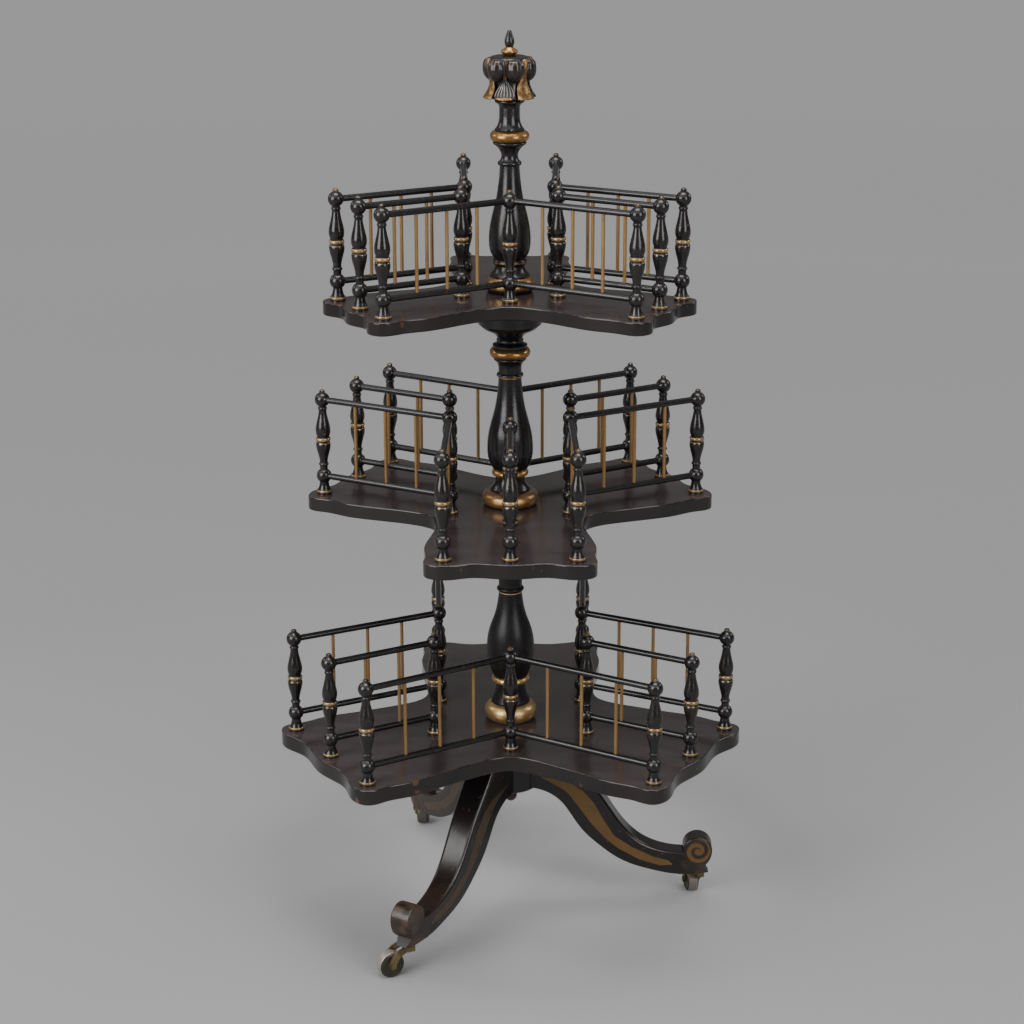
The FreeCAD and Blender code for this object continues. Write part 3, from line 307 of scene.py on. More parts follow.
for box in SOFT_BOXES:
    soft_box(*box)
sun = bpy.data.objects.new("sun", bpy.data.lights.new("sun", "SUN"))
scene.collection.objects.link(sun)
sun.data.energy = SUN_STRENGTH
sun.data.angle = SUN_SPREAD
sun.rotation_euler = SUN_LEAN

# %% Sky
SKY_LOW = 0.05
SKY_RISE = 0.42
SKY_SEEN = 0.319

world = bpy.data.worlds.new("studio")
world.use_nodes = True
tree = world.node_tree
sky = Value(tree, tree.nodes.new("ShaderNodeTexCoord").outputs["Generated"])
background = tree.nodes["Background"]
glow = sky.axis(2).above(0.5, 1.0) * SKY_RISE + SKY_LOW
lens = sky.node("ShaderNodeLightPath", {}, {}, out="Is Camera Ray")
glow = glow + (SKY_SEEN - glow) * lens
tree.links.new(glow.socket, background.inputs["Strength"])
background.inputs["Color"].default_value = (1.0, 1.0, 1.0, 1.0)
scene.world = world
print("sky strength", SKY_LOW, "to", SKY_LOW + SKY_RISE)

# %% [markdown]
# ## Ebonised wood and gilding
# The wood was stained black and polished, so it is a glossy near-black that has gone brown in
# clouds and is rubbed through in specks. Rings were gilt with bronze leaf, now darkened. Both
# share one shader: a mask of the heights that are gilt turns black lacquer into gold. The bump
# is slight, because a lathe leaves only soft ripples that bend the streaks of light, and the
# gilding is smooth.

# %% Lacquer and gilt
INK = (0.0062, 0.0058, 0.0062, 1.0)
BROWN_INK = (0.020, 0.0135, 0.011, 1.0)
RUBBED = (0.105, 0.055, 0.026, 1.0)
DUST = (0.040, 0.037, 0.036, 1.0)
PALE_GOLD = (0.66, 0.43, 0.170, 1.0)
BROWN_GOLD = (0.61, 0.335, 0.115, 1.0)
OLD_GOLD = (0.385, 0.205, 0.066, 1.0)
DARK_GOLD = (0.135, 0.066, 0.024, 1.0)
TAN_GOLD = (0.43, 0.285, 0.130, 1.0)


def gold_leaf(place, leaf, age=1.0):
    """Colour and roughness of bronze leaf with its dark clouds, more of them with age."""
    dark = (place.noise(52.0, 5.0).above(0.58, 0.24) * 0.5 + place.noise(230.0, 2.0) * 0.2) * age
    return dark.clamped().mixed(leaf, DARK_GOLD), 0.25 + dark * 0.10


def lacquered(place, gilt=None, leaf=OLD_GOLD, brown=0.35, rubbed=0.5, metal=0.8, dull=0.15,
              shine=0.5):
    """Black lacquer, gilt where a mask is 1.

    brown and rubbed are how far it has aged, dull is its roughness, shine its specular level.
    """
    clouds = place.noise(14.0, 4.0)
    specks = place.noise(120.0, 4.0)
    dust = place.noise(330.0, 3.0)
    ripple = place.noise(85.0, 2.0, stretch=(0.45, 0.45, 1.0))
    ripple = ripple + place.noise(210.0, 2.0, stretch=(0.12, 0.12, 1.0)) * 0.6
    colour = (clouds * 1.6 * brown - 0.3 * brown).clamped().mixed(INK, BROWN_INK)
    colour = (specks.above(0.69, 0.05) * rubbed).mixed(colour, RUBBED)
    colour = (dust.above(0.60, 0.12) * 0.3).mixed(colour, DUST)
    rough = dull + clouds * 0.12 + dust * 0.03
    if gilt is None:
        metal = 0.0
    else:
        gold, gold_rough = gold_leaf(place, leaf)
        colour = gilt.mixed(colour, gold)
        rough = rough + (gold_rough - rough) * gilt
        metal = gilt * metal
        ripple = ripple * (1.0 - gilt)
    return place.surface(Base_Color=colour, Roughness=rough, Metallic=metal,
                         Specular_IOR_Level=shine, Normal=ripple.bumped(0.09, 0.001))


plain_lacquer = finish("plain_lacquer", lacquered)
print("inks and leaf ready")

# %% [markdown]
# ## Gallery posts
# Every post has the same turned shape, so its gilding is set by height above its shelf: a ring
# near the foot, and a ring at the middle with a thin worn line under it. The little button on
# top has lost most of its gilding. The rails are plain and a little glossier.

# %% Posts and rails
POST_FOOT = (0.0024, 0.0064)
POST_LINE = (0.0850, 0.0859)
POST_RING = (0.0891, 0.0940)
POST_BUTTON = 0.1690


def post_finish(name, floor_level, leaf):
    """Post lacquer with its gilt foot, middle ring, thin line and worn button."""
    def look(place):
        height = place.axis(2) - floor_level
        worn = place.noise(150.0, 3.0).above(0.5, 0.1)
        gilt = height.band(*POST_FOOT) * (worn * 0.4 + 0.6)
        gilt = gilt.either(height.band(*POST_RING))
        gilt = gilt.either(height.band(*POST_LINE) * worn)
        gilt = gilt.either(height.above(POST_BUTTON, 0.0006) * worn * 0.35)
        return lacquered(place, gilt, leaf, brown=0.45, rubbed=0.6, metal=0.65, dull=0.14)
    return finish(name, look)


def rail_look(place):
    """Rail lacquer, glossy and little aged."""
    return lacquered(place, brown=0.2, rubbed=0.3, dull=0.12)


rail_lacquer = finish("rail_lacquer", rail_look)
for tier in TIERS:
    posts = [tier + "_" + kind + "_posts" for kind in ("corner", "end", "inner")]
    wear_coat(post_finish(tier + "_post_lacquer", shelf_top[tier], TAN_GOLD), posts)
    wear_coat(rail_lacquer, [tier + "_lower_rails", tier + "_upper_rails"])
print("posts and rails finished")

# %% [markdown]
# ## Column
# The column's rings are gilt in the same way, between heights above the shelf. The gold isn't the
# same on every stage: the lowest ring is the palest, and those above have gone brown. The ring at
# the column's foot is black where it meets the shelf, on the top stage its own black and on the
# two below a thin painted contact shadow; it is tarnished on top, and has a clear coat, because
# its streaks of light are sharper than leaf alone would give.

# %% Columns, with their gilt rings
COLUMN_RINGS = {
    "bottom": [(0.064, 0.074), (0.2186, 0.2201)],
    "middle": [(0.048, 0.058), (0.2090, 0.2125)],
    "top": [(0.0462, 0.0486)],
}
COLUMN_LEAF = {"bottom": PALE_GOLD, "middle": BROWN_GOLD, "top": OLD_GOLD}
DULL_AND_SHINE = {"bottom": (0.30, 0.28), "middle": (0.16, 0.45), "top": (0.18, 0.5)}


def banded(name, bands, leaf, dull=0.14, shine=0.5):
    """Column lacquer, gilt between pairs of heights."""
    def look(place):
        height = place.axis(2)
        gilt = height.band(*bands[0])
        for low, high in bands[1:]:
            gilt = gilt.either(height.band(low, high))
        return lacquered(place, gilt, leaf, brown=0.3, rubbed=0.2, dull=dull, shine=shine)
    return finish(name, look)


for tier in TIERS:
    floor_level = shelf_top[tier]
    bands = [(floor_level + low, floor_level + high) for low, high in COLUMN_RINGS[tier]]
    dull, shine = DULL_AND_SHINE[tier]
    coat = banded(tier + "_column_lacquer", bands, COLUMN_LEAF[tier], dull, shine)
    wear_coat(coat, [tier + "_column"])
print("columns finished")

# %% Base rings
# first number: height of the black foot, real black on the top stage, a painted contact shadow on
# the two below
BLACK_FOOT_AND_TARNISH = {"bottom": (0.0015, 0.15), "middle": (0.0025, 1.0), "top": (0.0075, 0.1)}
TARNISH_START = 0.016


def base_ring_finish(tier, bare, tarnish):
    """Base ring, black up to a height over its shelf, a painted contact shadow on the lower
    stages, then gilt, with a tarnished top.
    """
    def look(place):
        height = place.axis(2) - shelf_top[tier]
        cloud = place.noise(40.0, 4.0)
        gold, rough = gold_leaf(place, COLUMN_LEAF[tier], 0.7)
        brown = height.above(TARNISH_START, 0.012) * (cloud * 0.8 + 0.4) * tarnish
        gilt = height.above(bare, 0.0008)
        colour = gilt.mixed(INK, brown.clamped().mixed(gold, DARK_GOLD))
        return place.surface(Base_Color=colour, Roughness=rough + 0.05 + cloud * 0.08,
                             Coat_Weight=0.7, Coat_Roughness=0.13, Metallic=gilt * 0.85)
    return finish(tier + "_ring_gilt", look)


for tier in TIERS:
    bare, tarnish = BLACK_FOOT_AND_TARNISH[tier]
    wear_coat(base_ring_finish(tier, bare, tarnish), [tier + "_base_ring"])
print("base rings finished")

# %% Caps, neck and finial
CAP_RING_HEIGHTS = {"bottom_column_cap": 0.0162, "middle_column_cap": 0.0162, "top_neck": 0.0167}
FINIAL_BEAD = 0.0275

for name, height in CAP_RING_HEIGHTS.items():
    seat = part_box(name)[0].z
    wear_coat(banded(name + "_lacquer", [(seat - 0.001, seat + height)], OLD_GOLD), [name])
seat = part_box("acorn_finial")[0].z
finial_lacquer = banded("finial_lacquer", [(seat, seat + FINIAL_BEAD)], OLD_GOLD)
wear_coat(finial_lacquer, ["acorn_finial"])
wear_coat(plain_lacquer, ["middle_collar", "top_collar", "capital", "tripod_hub"])
print("caps, neck and finial finished")

# %% [markdown]
# ## Spindles
# The thin uprights are gilt too, but handled and dusty: duller and flatter than the rings, with
# streaks that run up and down.

# %% Spindle gilding
SPINDLE_GOLD = (0.37, 0.222, 0.084, 1.0)
SPINDLE_BROWN = (0.135, 0.070, 0.026, 1.0)


def dull_gilding(place):
    """Flat bronze leaf, darker in upright streaks."""
    streak = place.noise(260.0, 3.0, stretch=(1.0, 1.0, 0.06))
    cloud = place.noise(18.0, 3.0)
    dark = (streak * 0.7 + cloud * 0.7 - 0.3).clamped()
    colour = dark.mixed(SPINDLE_GOLD, SPINDLE_BROWN)
    return place.surface(Base_Color=colour, Roughness=0.36 + dark * 0.15, Metallic=0.55,
                         Normal=streak.bumped(0.10, 0.0005))


wear_coat(finish("spindle_gilt", dull_gilding), [tier + "_spindles" for tier in TIERS])
print("spindles finished")

# %% [markdown]
# ## Shelves
# The boards are polished too, but a century of books has left them browner than the posts. They
# still mirror the gilt rings. A thin broken pale line on the arrises is worn wood and a painted
# highlight on the edge together, and the rounded ears are rubbed to bare wood in spots.

# %% Shelf lacquer
SHELF_BLACK = (0.022, 0.0165, 0.0175, 1.0)
SHELF_BROWN = (0.056, 0.0400, 0.0405, 1.0)
ARRIS_WEAR_AND_SHEEN = (0.105, 0.080, 0.066, 1.0)
ARRIS_DEPTH = 0.006
EARS_START = 0.25


def shelf_finish(name, top):
    """Lacquer of a board whose upper face lies at a height."""
    def look(place):
        grain = place.noise(22.0, 5.0, stretch=(0.25, 2.2, 1.0))
        patches = place.noise(7.0, 4.0)
        fine = place.noise(70.0, 4.0)
        aged = (grain * 1.2 + patches * 0.9 - 0.65).clamped()
        facing = place.facing_up()
        face = aged.mixed(SHELF_BLACK, SHELF_BROWN)
        colour = facing.above(0.8, 0.3).mixed(aged.mixed(INK, BROWN_INK), face)
        # the pale arris line is partly wear and partly a painted highlight along the edge
        arris = facing.band(0.35, 0.95, 0.2) * place.axis(2).above(top - ARRIS_DEPTH, 0.001)
        arris = arris * fine.above(0.52, 0.14)
        colour = (arris * 0.3).mixed(colour, ARRIS_WEAR_AND_SHEEN)
        out = place.axis(0).long_side(place.axis(1))
        spots = place.noise(45.0, 3.0).above(0.67, 0.05) * (1.0 - facing.above(0.9, 0.1))
        spots = spots * out.above(EARS_START, 0.05)
        colour = (spots * 0.8).mixed(colour, RUBBED)
        rough = 0.09 + patches * 0.16
        bump = grain.bumped(0.02, 0.001)
        return place.surface(Base_Color=colour, Roughness=rough, Normal=bump)
    return finish(name, look)


for tier in TIERS:
    wear_coat(shelf_finish(tier + "_shelf_lacquer", shelf_top[tier]), [tier + "_shelf"])
print("shelves finished")

# %% [markdown]
# ## Legs
# A leg's side carries a gilt band that follows its sweep, and the roll at its end a gilt spiral.
# Each leg is a flat profile, so both are drawn in the leg's own coordinates: how far out a point
# is, how high, and how far across. The band's two edges are ramps of height against reach.

# %% Lines of the gilt band
LEG_TURNS = {"right": -1.5, "back": 121.0, "front": 238.5}
BAND_TOP = [
    (50, 229.5), (97, 218.5), (120, 203.5), (139, 180.5), (155, 150.5), (172, 122.5),
    (202, 101.5), (238, 83.5), (263, 76.5), (271, 69.5),
]
BAND_FOOT = [
    (50, 228.5), (70, 217.5), (92, 203.5), (113, 175.5), (132, 147.5), (156, 119.5), (179, 99.5),
    (215, 78.5), (250, 67.5), (271, 68.5),
]
BAND_REACH = (0.05, 0.270)
SIDE_TAPER = 0.03701
SIDE_START = 0.0272
RAMP_SPAN = 0.35


def edge_ramp(reach, points):
    """Height of a line drawn through points of reach and height, in millimetres."""
    span = RAMP_SPAN * 1000.0
    stops = [(out / span, height / span) for out, height in points]
    return reach.node("ShaderNodeValToRGB", {"stops": stops}, {0: reach / RAMP_SPAN}) * RAMP_SPAN


def gilt_band(reach, height, across, waver):
    """Mask of the band on a leg's sides, between its two lines."""
    side = (across + reach * SIDE_TAPER).above(SIDE_START, 0.0004)
    inside = (edge_ramp(reach, BAND_TOP) - height + waver).above(0.0, 0.0012)
    outside = (height + waver - edge_ramp(reach, BAND_FOOT)).above(0.0, 0.0012)
    return side * inside * outside * reach.band(*BAND_REACH)


print("band of", len(BAND_TOP), "and", len(BAND_FOOT), "points")

# %% Spiral on the scroll
SCROLL_OUT = 0.312
SCROLL_UP = 0.0930
COIL_PITCH = 0.0135
COIL_RADIUS = 0.0218
COIL_EYE = 0.0042
SCROLL_HALF = 0.0166


def gilt_spiral(reach, height, across):
    """Mask of the spiral on both ends of a scroll."""
    right = reach - SCROLL_OUT
    up = height - SCROLL_UP
    away = right.long_side(up)
    coil = (away / COIL_PITCH - up.maths("ARCTAN2", right) / (2.0 * math.pi)).maths("FRACT")
    spiral = coil.band(0.30, 0.82, 0.12).either(1.0 - away.above(COIL_EYE, 0.001))
    return spiral * (1.0 - away.above(COIL_RADIUS, 0.0012)) * across.above(SCROLL_HALF, 0.0004)


print("spiral of pitch", COIL_PITCH)

# %% Leg lacquer
TOE_OUT = 0.3165
TOE_TOP = 0.0673
ROLL_START = 0.285
TOE_SHEEN_GREY = (0.042, 0.038, 0.036, 1.0)
LEG_RUBBED = (0.068, 0.039, 0.026, 1.0)
LEG_BLOTCH = (0.098, 0.054, 0.030, 1.0)
LEAF_BROWN = (0.105, 0.066, 0.032, 1.0)
LEAF_OCHRE = (0.180, 0.105, 0.039, 1.0)
GILDING = {"right": (0.95, LEAF_OCHRE), "back": (0.35, LEAF_BROWN), "front": (0.5, LEAF_BROWN)}


def leg_finish(name, turn, kept, leaf):
    """Lacquer of a leg that points out at an angle; kept is how much of its gilding is left."""
    def look(place):
        leg = place.about((0.0, 0.0, 0.0), -turn)
        reach = leg.axis(0)
        height = leg.axis(2)
        across = abs(leg.axis(1))
        waver = (place.noise(60.0, 2.0) - 0.5) * 0.0015
        spiral = gilt_spiral(reach, height, across) * (2.0 * kept - 1.0)
        worn = place.noise(38.0, 5.0).above(0.62 - 0.3 * kept, 0.2)
        gilt = gilt_band(reach, height, across, waver).either(spiral).clamped()
        gilt = gilt * (worn * 0.3 + 0.7) * (0.4 + 0.6 * kept)
        facing = place.facing_up()
        # painted sheen: the top of the toe block, where it faces up, is painted grey
        toe_sheen = reach.above(TOE_OUT, 0.001) * (1.0 - height.above(TOE_TOP, 0.0006))
        toe_sheen = toe_sheen * facing.above(0.3, 0.1)
        bare = place.noise(26.0, 4.0).above(0.30 + 0.3 * kept, 0.25)
        # the toe's painted sheen joins the rubbed spots in this mask
        rubbed = (bare * reach.above(0.10 + 0.2 * kept, 0.10)).either(toe_sheen)
        rolled = reach.above(ROLL_START, 0.01)
        clouds = place.noise(14.0, 4.0)
        specks = place.noise(120.0, 4.0)
        colour = (clouds * 1.1 - 0.15).clamped().mixed(INK, BROWN_INK)
        colour = (rubbed * 0.28).mixed(colour, LEG_RUBBED)
        blotch = place.noise(48.0, 5.0).above(0.52, 0.14)
        colour = (blotch * rolled * (0.8 - 0.6 * kept)).mixed(colour, LEG_BLOTCH)
        colour = (specks.above(0.67, 0.05) * 0.6).mixed(colour, RUBBED)
        colour = toe_sheen.mixed(colour, TOE_SHEEN_GREY)
        gold, gold_rough = gold_leaf(place, leaf, 0.7)
        colour = gilt.mixed(colour, gold)
        rough = 0.11 + clouds * 0.12 + specks * 0.06
        rough = rough + rubbed * 0.06 + rolled * 0.10 + toe_sheen * 0.35
        rough = rough + (gold_rough + 0.1 - rough) * gilt
        bump = place.noise(70.0, 3.0).bumped(0.08, 0.001)
        return place.surface(Base_Color=colour, Roughness=rough, Metallic=gilt * 0.5, Normal=bump)
    return finish(name, look)


for side, turn in LEG_TURNS.items():
    kept, leaf = GILDING[side]
    wear_coat(leg_finish(side + "_leg_lacquer", turn, kept, leaf), [side + "_leg"])
print("legs finished")

# %% [markdown]
# ## Metal
# The casters are cast brass, gone olive and brown. Their wheels have rings turned in the sides and
# a paler tread, worn where they run and with a painted sheen, stronger on some wheels than on
# others; a sine of the radius draws the rings. The pivot is iron, and its bushes and washers
# brass;
# they hardly show.

# %% Brass and iron
BRASS = (0.33, 0.25, 0.125, 1.0)
BRASS_DIRT = (0.050, 0.039, 0.023, 1.0)
IRON = (0.09, 0.088, 0.09, 1.0)
IRON_RUST = (0.05, 0.04, 0.035, 1.0)


def old_brass(place):
    """Cast brass, clouded with dirt."""
    cloud = place.noise(60.0, 4.0)
    fine = place.noise(320.0, 3.0)
    dark = (cloud * 2.2 - 0.7 + fine * 0.3).clamped()
    colour = dark.mixed(BRASS, BRASS_DIRT)
    return place.surface(Base_Color=colour, Roughness=0.30 + dark * 0.25, Metallic=0.85,
                         Normal=fine.bumped(0.15, 0.0005))


def dark_iron(place):
    """Dull iron with a little rust."""
    fine = place.noise(240.0, 4.0)
    colour = fine.mixed(IRON, IRON_RUST)
    return place.surface(Base_Color=colour, Roughness=0.35 + fine * 0.2, Metallic=0.85)


brass_nodes = [name for name in nodes if "caster" in name or name.endswith(("_bush", "_washer"))]
wear_coat(finish("old_brass", old_brass), brass_nodes)
wear_coat(finish("dark_iron", dark_iron), ["iron_pivot"])
print("metal on", len(brass_nodes) + 1, "nodes")

# %% Caster wheels
# second number: how strongly each tread is painted pale, its wear and painted sheen together
WHEELS = {"right": (100.0, 0.5), "back": (85.0, 0.15), "front": (208.0, 1.0)}
TREAD_RADIUS = 0.0185
TREAD_HALF = 0.0075
RING_RADIANS_PER_M = 1900.0
GROOVE_RADIANS_PER_M = 1500.0
WHEEL_DARK = (0.016, 0.014, 0.012, 1.0)
WHEEL_BROWN = (0.095, 0.081, 0.062, 1.0)
TREAD_PALE = (0.50, 0.45, 0.43, 1.0)
TREAD_GREY = (0.24, 0.200, 0.180, 1.0)


def wheel_finish(name, centre, turn, wear_and_sheen):
    """Dark rings on a wheel's sides and a pale tread, worn and with a painted sheen; it rolls
    along an angle.
    """
    def look(place):
        wheel = place.about(centre, -turn)
        out = wheel.axis(0).long_side(wheel.axis(2))
        rings = (out * RING_RADIANS_PER_M).maths("SINE") * 0.5 + 0.5
        grooves = (wheel.axis(1) * GROOVE_RADIANS_PER_M).maths("SINE") * 0.5 + 0.5
        tread = out.above(TREAD_RADIUS, 0.0006)
        tread = tread * (1.0 - abs(wheel.axis(1)).above(TREAD_HALF, 0.001))
        dirt = place.noise(180.0, 4.0)
        metal = (rings * 0.7 + dirt * 0.5 - 0.1).clamped().mixed(WHEEL_DARK, WHEEL_BROWN)
        pale = (dirt * 0.6 + grooves * 0.4).mixed(TREAD_PALE, TREAD_GREY)
        colour = (tread * wear_and_sheen).mixed(metal, pale)
        bump = (rings + dirt * 0.5).bumped(0.25, 0.0005)
        return place.surface(Base_Color=colour, Roughness=0.32 + dirt * 0.15, Metallic=0.6,
                             Normal=bump)
    return finish(name, look)


for side, (trail, wear_and_sheen) in WHEELS.items():
    name = side + "_caster_wheel"
    low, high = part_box(name)
    wear_coat(wheel_finish(side + "_wheel_brass", (low + high) / 2.0, trail, wear_and_sheen), [name])
print("wheels finished")

# %% [markdown]
# ## Drop under the hub
# The little turned drop has lost its black, and red-brown wood shows. Noise drawn out along the
# turning axis is enough of a grain for so small a piece.

# %% Worn drop
BARE_WOOD = (0.085, 0.036, 0.020, 1.0)
DARK_WOOD = (0.026, 0.013, 0.010, 1.0)


def worn_wood(place):
    """Bare brown wood with an upright grain."""
    grain = place.noise(60.0, 5.0, stretch=(1.0, 1.0, 0.2))
    colour = grain.mixed(BARE_WOOD, DARK_WOOD)
    return place.surface(Base_Color=colour, Roughness=0.38 + grain * 0.15)


wear_coat(finish("worn_wood", worn_wood), ["hub_drop"])
print("drop finished")

# %% [markdown]
# ## The carved capital
# Six egg-shaped lobes hang over six upright leaves that flare at the foot. Every other leaf is
# gilt, and those between are black, ribbed like a fan, with gilt edges. A lathe can't cut them,
# so they are modelled here: one leaf of each kind and one lobe, turned round the axis in copies.
# The helpers below select by place in edit mode, so that every step can be read as a test on
# coordinates.

# %% Capital helpers
foot, crown = (corner.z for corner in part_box("capital"))


def open_cage(piece):
    """Put a piece alone in edit mode, with nothing selected."""
    bpy.ops.object.select_all(action="DESELECT")
    piece.select_set(True)
    bpy.context.view_layer.objects.active = piece
    bpy.ops.object.mode_set(mode="EDIT")
    bpy.ops.mesh.select_mode(type="VERT")
    bpy.ops.mesh.select_all(action="DESELECT")


def pick(piece, test):
    """Select the vertices of an open cage whose place passes a test."""
    bpy.ops.mesh.select_all(action="DESELECT")
    cage = bmesh.from_edit_mesh(piece.data)
    for vertex in cage.verts:
        vertex.select_set(test(vertex.co))
    cage.select_flush(True)
    bmesh.update_edit_mesh(piece.data)


def mark_ridges(piece):
    """Keep the picked vertices as an attribute for a finish to read: 1 on a ridge, 0 off it."""
    bpy.ops.object.mode_set(mode="OBJECT")
    ridge = piece.data.attributes.new("ridge", "FLOAT", "POINT")
    for vertex in piece.data.vertices:
        ridge.data[vertex.index].value = float(vertex.select)
    bpy.ops.object.mode_set(mode="EDIT")


print("capital from", round(foot, 4), "to", round(crown, 4))

# %% Swept sheets


def spun(name, points, start, sweep, steps):
    """A sheet swept round Z from (radius, height) points, from a start angle off the front."""
    def at(radius, height):
        angle = math.radians(start)
        return Vector((radius * math.sin(angle), -radius * math.cos(angle), height))

    bpy.ops.object.select_all(action="DESELECT")
    bpy.ops.mesh.primitive_plane_add(size=0.001, location=at(*points[0]))
    piece = bpy.context.object
    piece.name = name
    bpy.ops.object.transform_apply(location=True, rotation=True, scale=True)
    bpy.ops.object.mode_set(mode="EDIT")
    bpy.ops.mesh.select_all(action="SELECT")
    bpy.ops.mesh.merge(type="CENTER")
    for here, there in zip(points, points[1:]):
        bpy.ops.mesh.extrude_region_move(TRANSFORM_OT_translate={"value": at(*there) - at(*here)})
    bpy.ops.mesh.select_all(action="SELECT")
    bpy.ops.mesh.spin(steps=steps, angle=math.radians(sweep), center=(0.0, 0.0, 0.0),
                      axis=(0.0, 0.0, -1.0))
    bpy.ops.mesh.select_all(action="SELECT")
    bpy.ops.mesh.remove_doubles(threshold=0.00001)
    bpy.ops.mesh.normals_make_consistent(inside=False)
    return piece


def modified(piece, kind, **settings):
    """Add a modifier to a piece and apply it."""
    if bpy.context.object.mode == "EDIT":
        bpy.ops.object.mode_set(mode="OBJECT")
    modifier = piece.modifiers.new(kind.lower(), kind)
    for key, setting in settings.items():
        setattr(modifier, key, setting)
    bpy.context.view_layer.objects.active = piece
    bpy.ops.object.modifier_apply(modifier=modifier.name)


print("sheets can be swept and modified")

# %% Rings of copies


def ring_of(piece, name, turns):
    """Copies of a piece turned round Z from the front, joined into one of that name."""
    copies = []
    for turn in turns:
        copy = piece.copy()
        copy.data = piece.data.copy()
        copy.data.transform(Matrix.Rotation(math.radians(turn), 4, "Z"))
        scene.collection.objects.link(copy)
        copies.append(copy)
    bpy.ops.object.select_all(action="DESELECT")
    for copy in copies:
        copy.select_set(True)
    bpy.context.view_layer.objects.active = copies[0]
    bpy.ops.object.join()
    joined = bpy.context.object
    bpy.data.objects.remove(piece)
    joined.name = name
    bpy.ops.object.shade_smooth()
    return joined


def placed(piece, material):
    """Dress a carved piece, and let it stand for the CAD capital on the top tier."""
    piece.data.materials.clear()
    piece.data.materials.append(material)
    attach(piece, "top_tier")
    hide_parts("capital")
    print(piece.name, len(piece.data.polygons), "faces")


print("rings can be made and placed")

# %% [markdown]
# ## Core of the capital
# Behind the carving stands a plain turned bell, black like the columns. It is one outline swept
# all the way round, closed on the axis at both ends.

# %% Core
CORE_STEPS = 48
CORE_LINE = [
    (0.0290, 0.0), (0.0312, 0.0025), (0.0275, 0.0100), (0.0245, 0.0220), (0.0255, 0.0330),
    (0.0290, 0.0430), (0.0318, 0.0540), (0.0315, 0.0615),
]
core_points = [(0.0, foot)]
core_points += [(out, foot + up) for out, up in CORE_LINE]
core_points += [(0.0280, crown - 0.0012), (0.0200, crown), (0.0, crown)]

core = spun("capital_core", core_points, 0.0, 360.0, CORE_STEPS)
modified(core, "SUBSURF", levels=1, render_levels=1)
bpy.ops.object.shade_smooth()
placed(core, plain_lacquer)

# %% [markdown]
# ## Lobes
# Each lobe is a carved egg, broad at its shoulder and reeded on its face. A sphere is stretched
# and then widened step by step above its middle, and every other column of its vertices is drawn
# out into a reed. The reeds' vertices are marked, so that a pale painted highlight can run along
# their tops near the shoulder.

# %% Lobe shape
LOBE_RADIUS = 0.0140
LOBE_SEGMENTS = 28
LOBE_RINGS = 18
LOBE_OUT = -0.0268
LOBE_UP = 0.0455
LOBE_TALL = (1.0, 1.0, 1.36)
LOBE_TIP = (0.94, 1.0, 0.96)
LOBE_SHOULDER = [
    (0.003, (1.05, 1.03, 1.0)), (0.009, (1.12, 1.09, 0.98)), (0.014, (1.20, 1.12, 0.97)),
]
LOBE_REED = (1.14, 1.14, 1.0)

middle = Vector((0.0, LOBE_OUT, foot + LOBE_UP))
bpy.ops.object.select_all(action="DESELECT")
bpy.ops.mesh.primitive_uv_sphere_add(segments=LOBE_SEGMENTS, ring_count=LOBE_RINGS,
                                     radius=LOBE_RADIUS, location=middle)
lobe = bpy.context.object
lobe.name = "capital_lobe"
bpy.ops.object.transform_apply(location=True, rotation=True, scale=True)
open_cage(lobe)
bpy.ops.mesh.select_all(action="SELECT")
bpy.ops.transform.resize(value=LOBE_TALL, center_override=middle)
pick(lobe, lambda co: co.z < middle.z - 0.004)
bpy.ops.transform.resize(value=LOBE_TIP, center_override=middle)
for rise, stretch in LOBE_SHOULDER:
    pick(lobe, lambda co: co.z > middle.z + rise)
    bpy.ops.transform.resize(value=stretch, center_override=middle)


def on_reed(co):
    """Whether a vertex lies on every other column of the lobe's face."""
    angle = math.degrees(math.atan2(co.x, middle.y - co.y))
    return co.y < middle.y - 0.001 and round(angle * LOBE_SEGMENTS / 360.0) % 2 == 0


pick(lobe, on_reed)
bpy.ops.transform.resize(value=LOBE_REED, center_override=middle)
mark_ridges(lobe)
modified(lobe, "SUBSURF", levels=1, render_levels=1)
print("one lobe of", len(lobe.data.polygons), "faces")

# %% Ring of lobes
LOBE_TURNS = [17.0 + 60.0 * k for k in range(6)]
REED_HIGHLIGHT = (0.125, 0.100, 0.084, 1.0)
SHOULDER = 0.050

lobes = ring_of(lobe, "capital_lobes", LOBE_TURNS)


def lobe_look(place):
    """Black lobe, with a pale painted highlight along its reeds' tops in the upper half."""
    ridge = place.attribute("ridge")
    height = place.axis(2) - foot
    patches = place.noise(110.0, 3.0)
    # painted highlight: pale along the reed tops in the upper half, broken by patches
    worn = ridge.above(0.62, 0.25) * height.above(SHOULDER, 0.010)
    worn = worn * (patches * 1.5 - 0.2).clamped()
    colour = worn.mixed(place.noise(60.0, 3.0).mixed(INK, BROWN_INK), REED_HIGHLIGHT)
    return place.surface(Base_Color=colour, Roughness=0.15 + patches * 0.15)


placed(lobes, finish("lobe_lacquer", lobe_look))

# %% [markdown]
# ## Leaves
# A leaf follows one line from under the lobes down to its flared lip. Sweeping that line a little
# way round the axis gives a bent sheet that can be ribbed column by column and narrowed row by
# row, and then thickened, so both kinds of leaf come from the same few steps.

# %% Leaf shape
LEAF_SPREAD = 28.0
LEAF_THICK = 0.0032
RIB_TOP = 0.030
LEAF_LINE = [
    (0.0350, 0.0640), (0.0375, 0.0600), (0.0378, 0.0530), (0.0355, 0.0440), (0.0325, 0.0350),
    (0.0308, 0.0270), (0.0318, 0.0190), (0.0350, 0.0115), (0.0392, 0.0055), (0.0412, 0.0032),
]
BELL_WIDTHS = (0.0056, 0.0064, 0.0062, 0.0058, 0.0070, 0.0108, 0.0140, 0.0164, 0.0182, 0.0180)
FAN_WIDTHS = (0.0066, 0.0060, 0.0050, 0.0034, 0.0018, 0.0068, 0.0124, 0.0168, 0.0172, 0.0140)


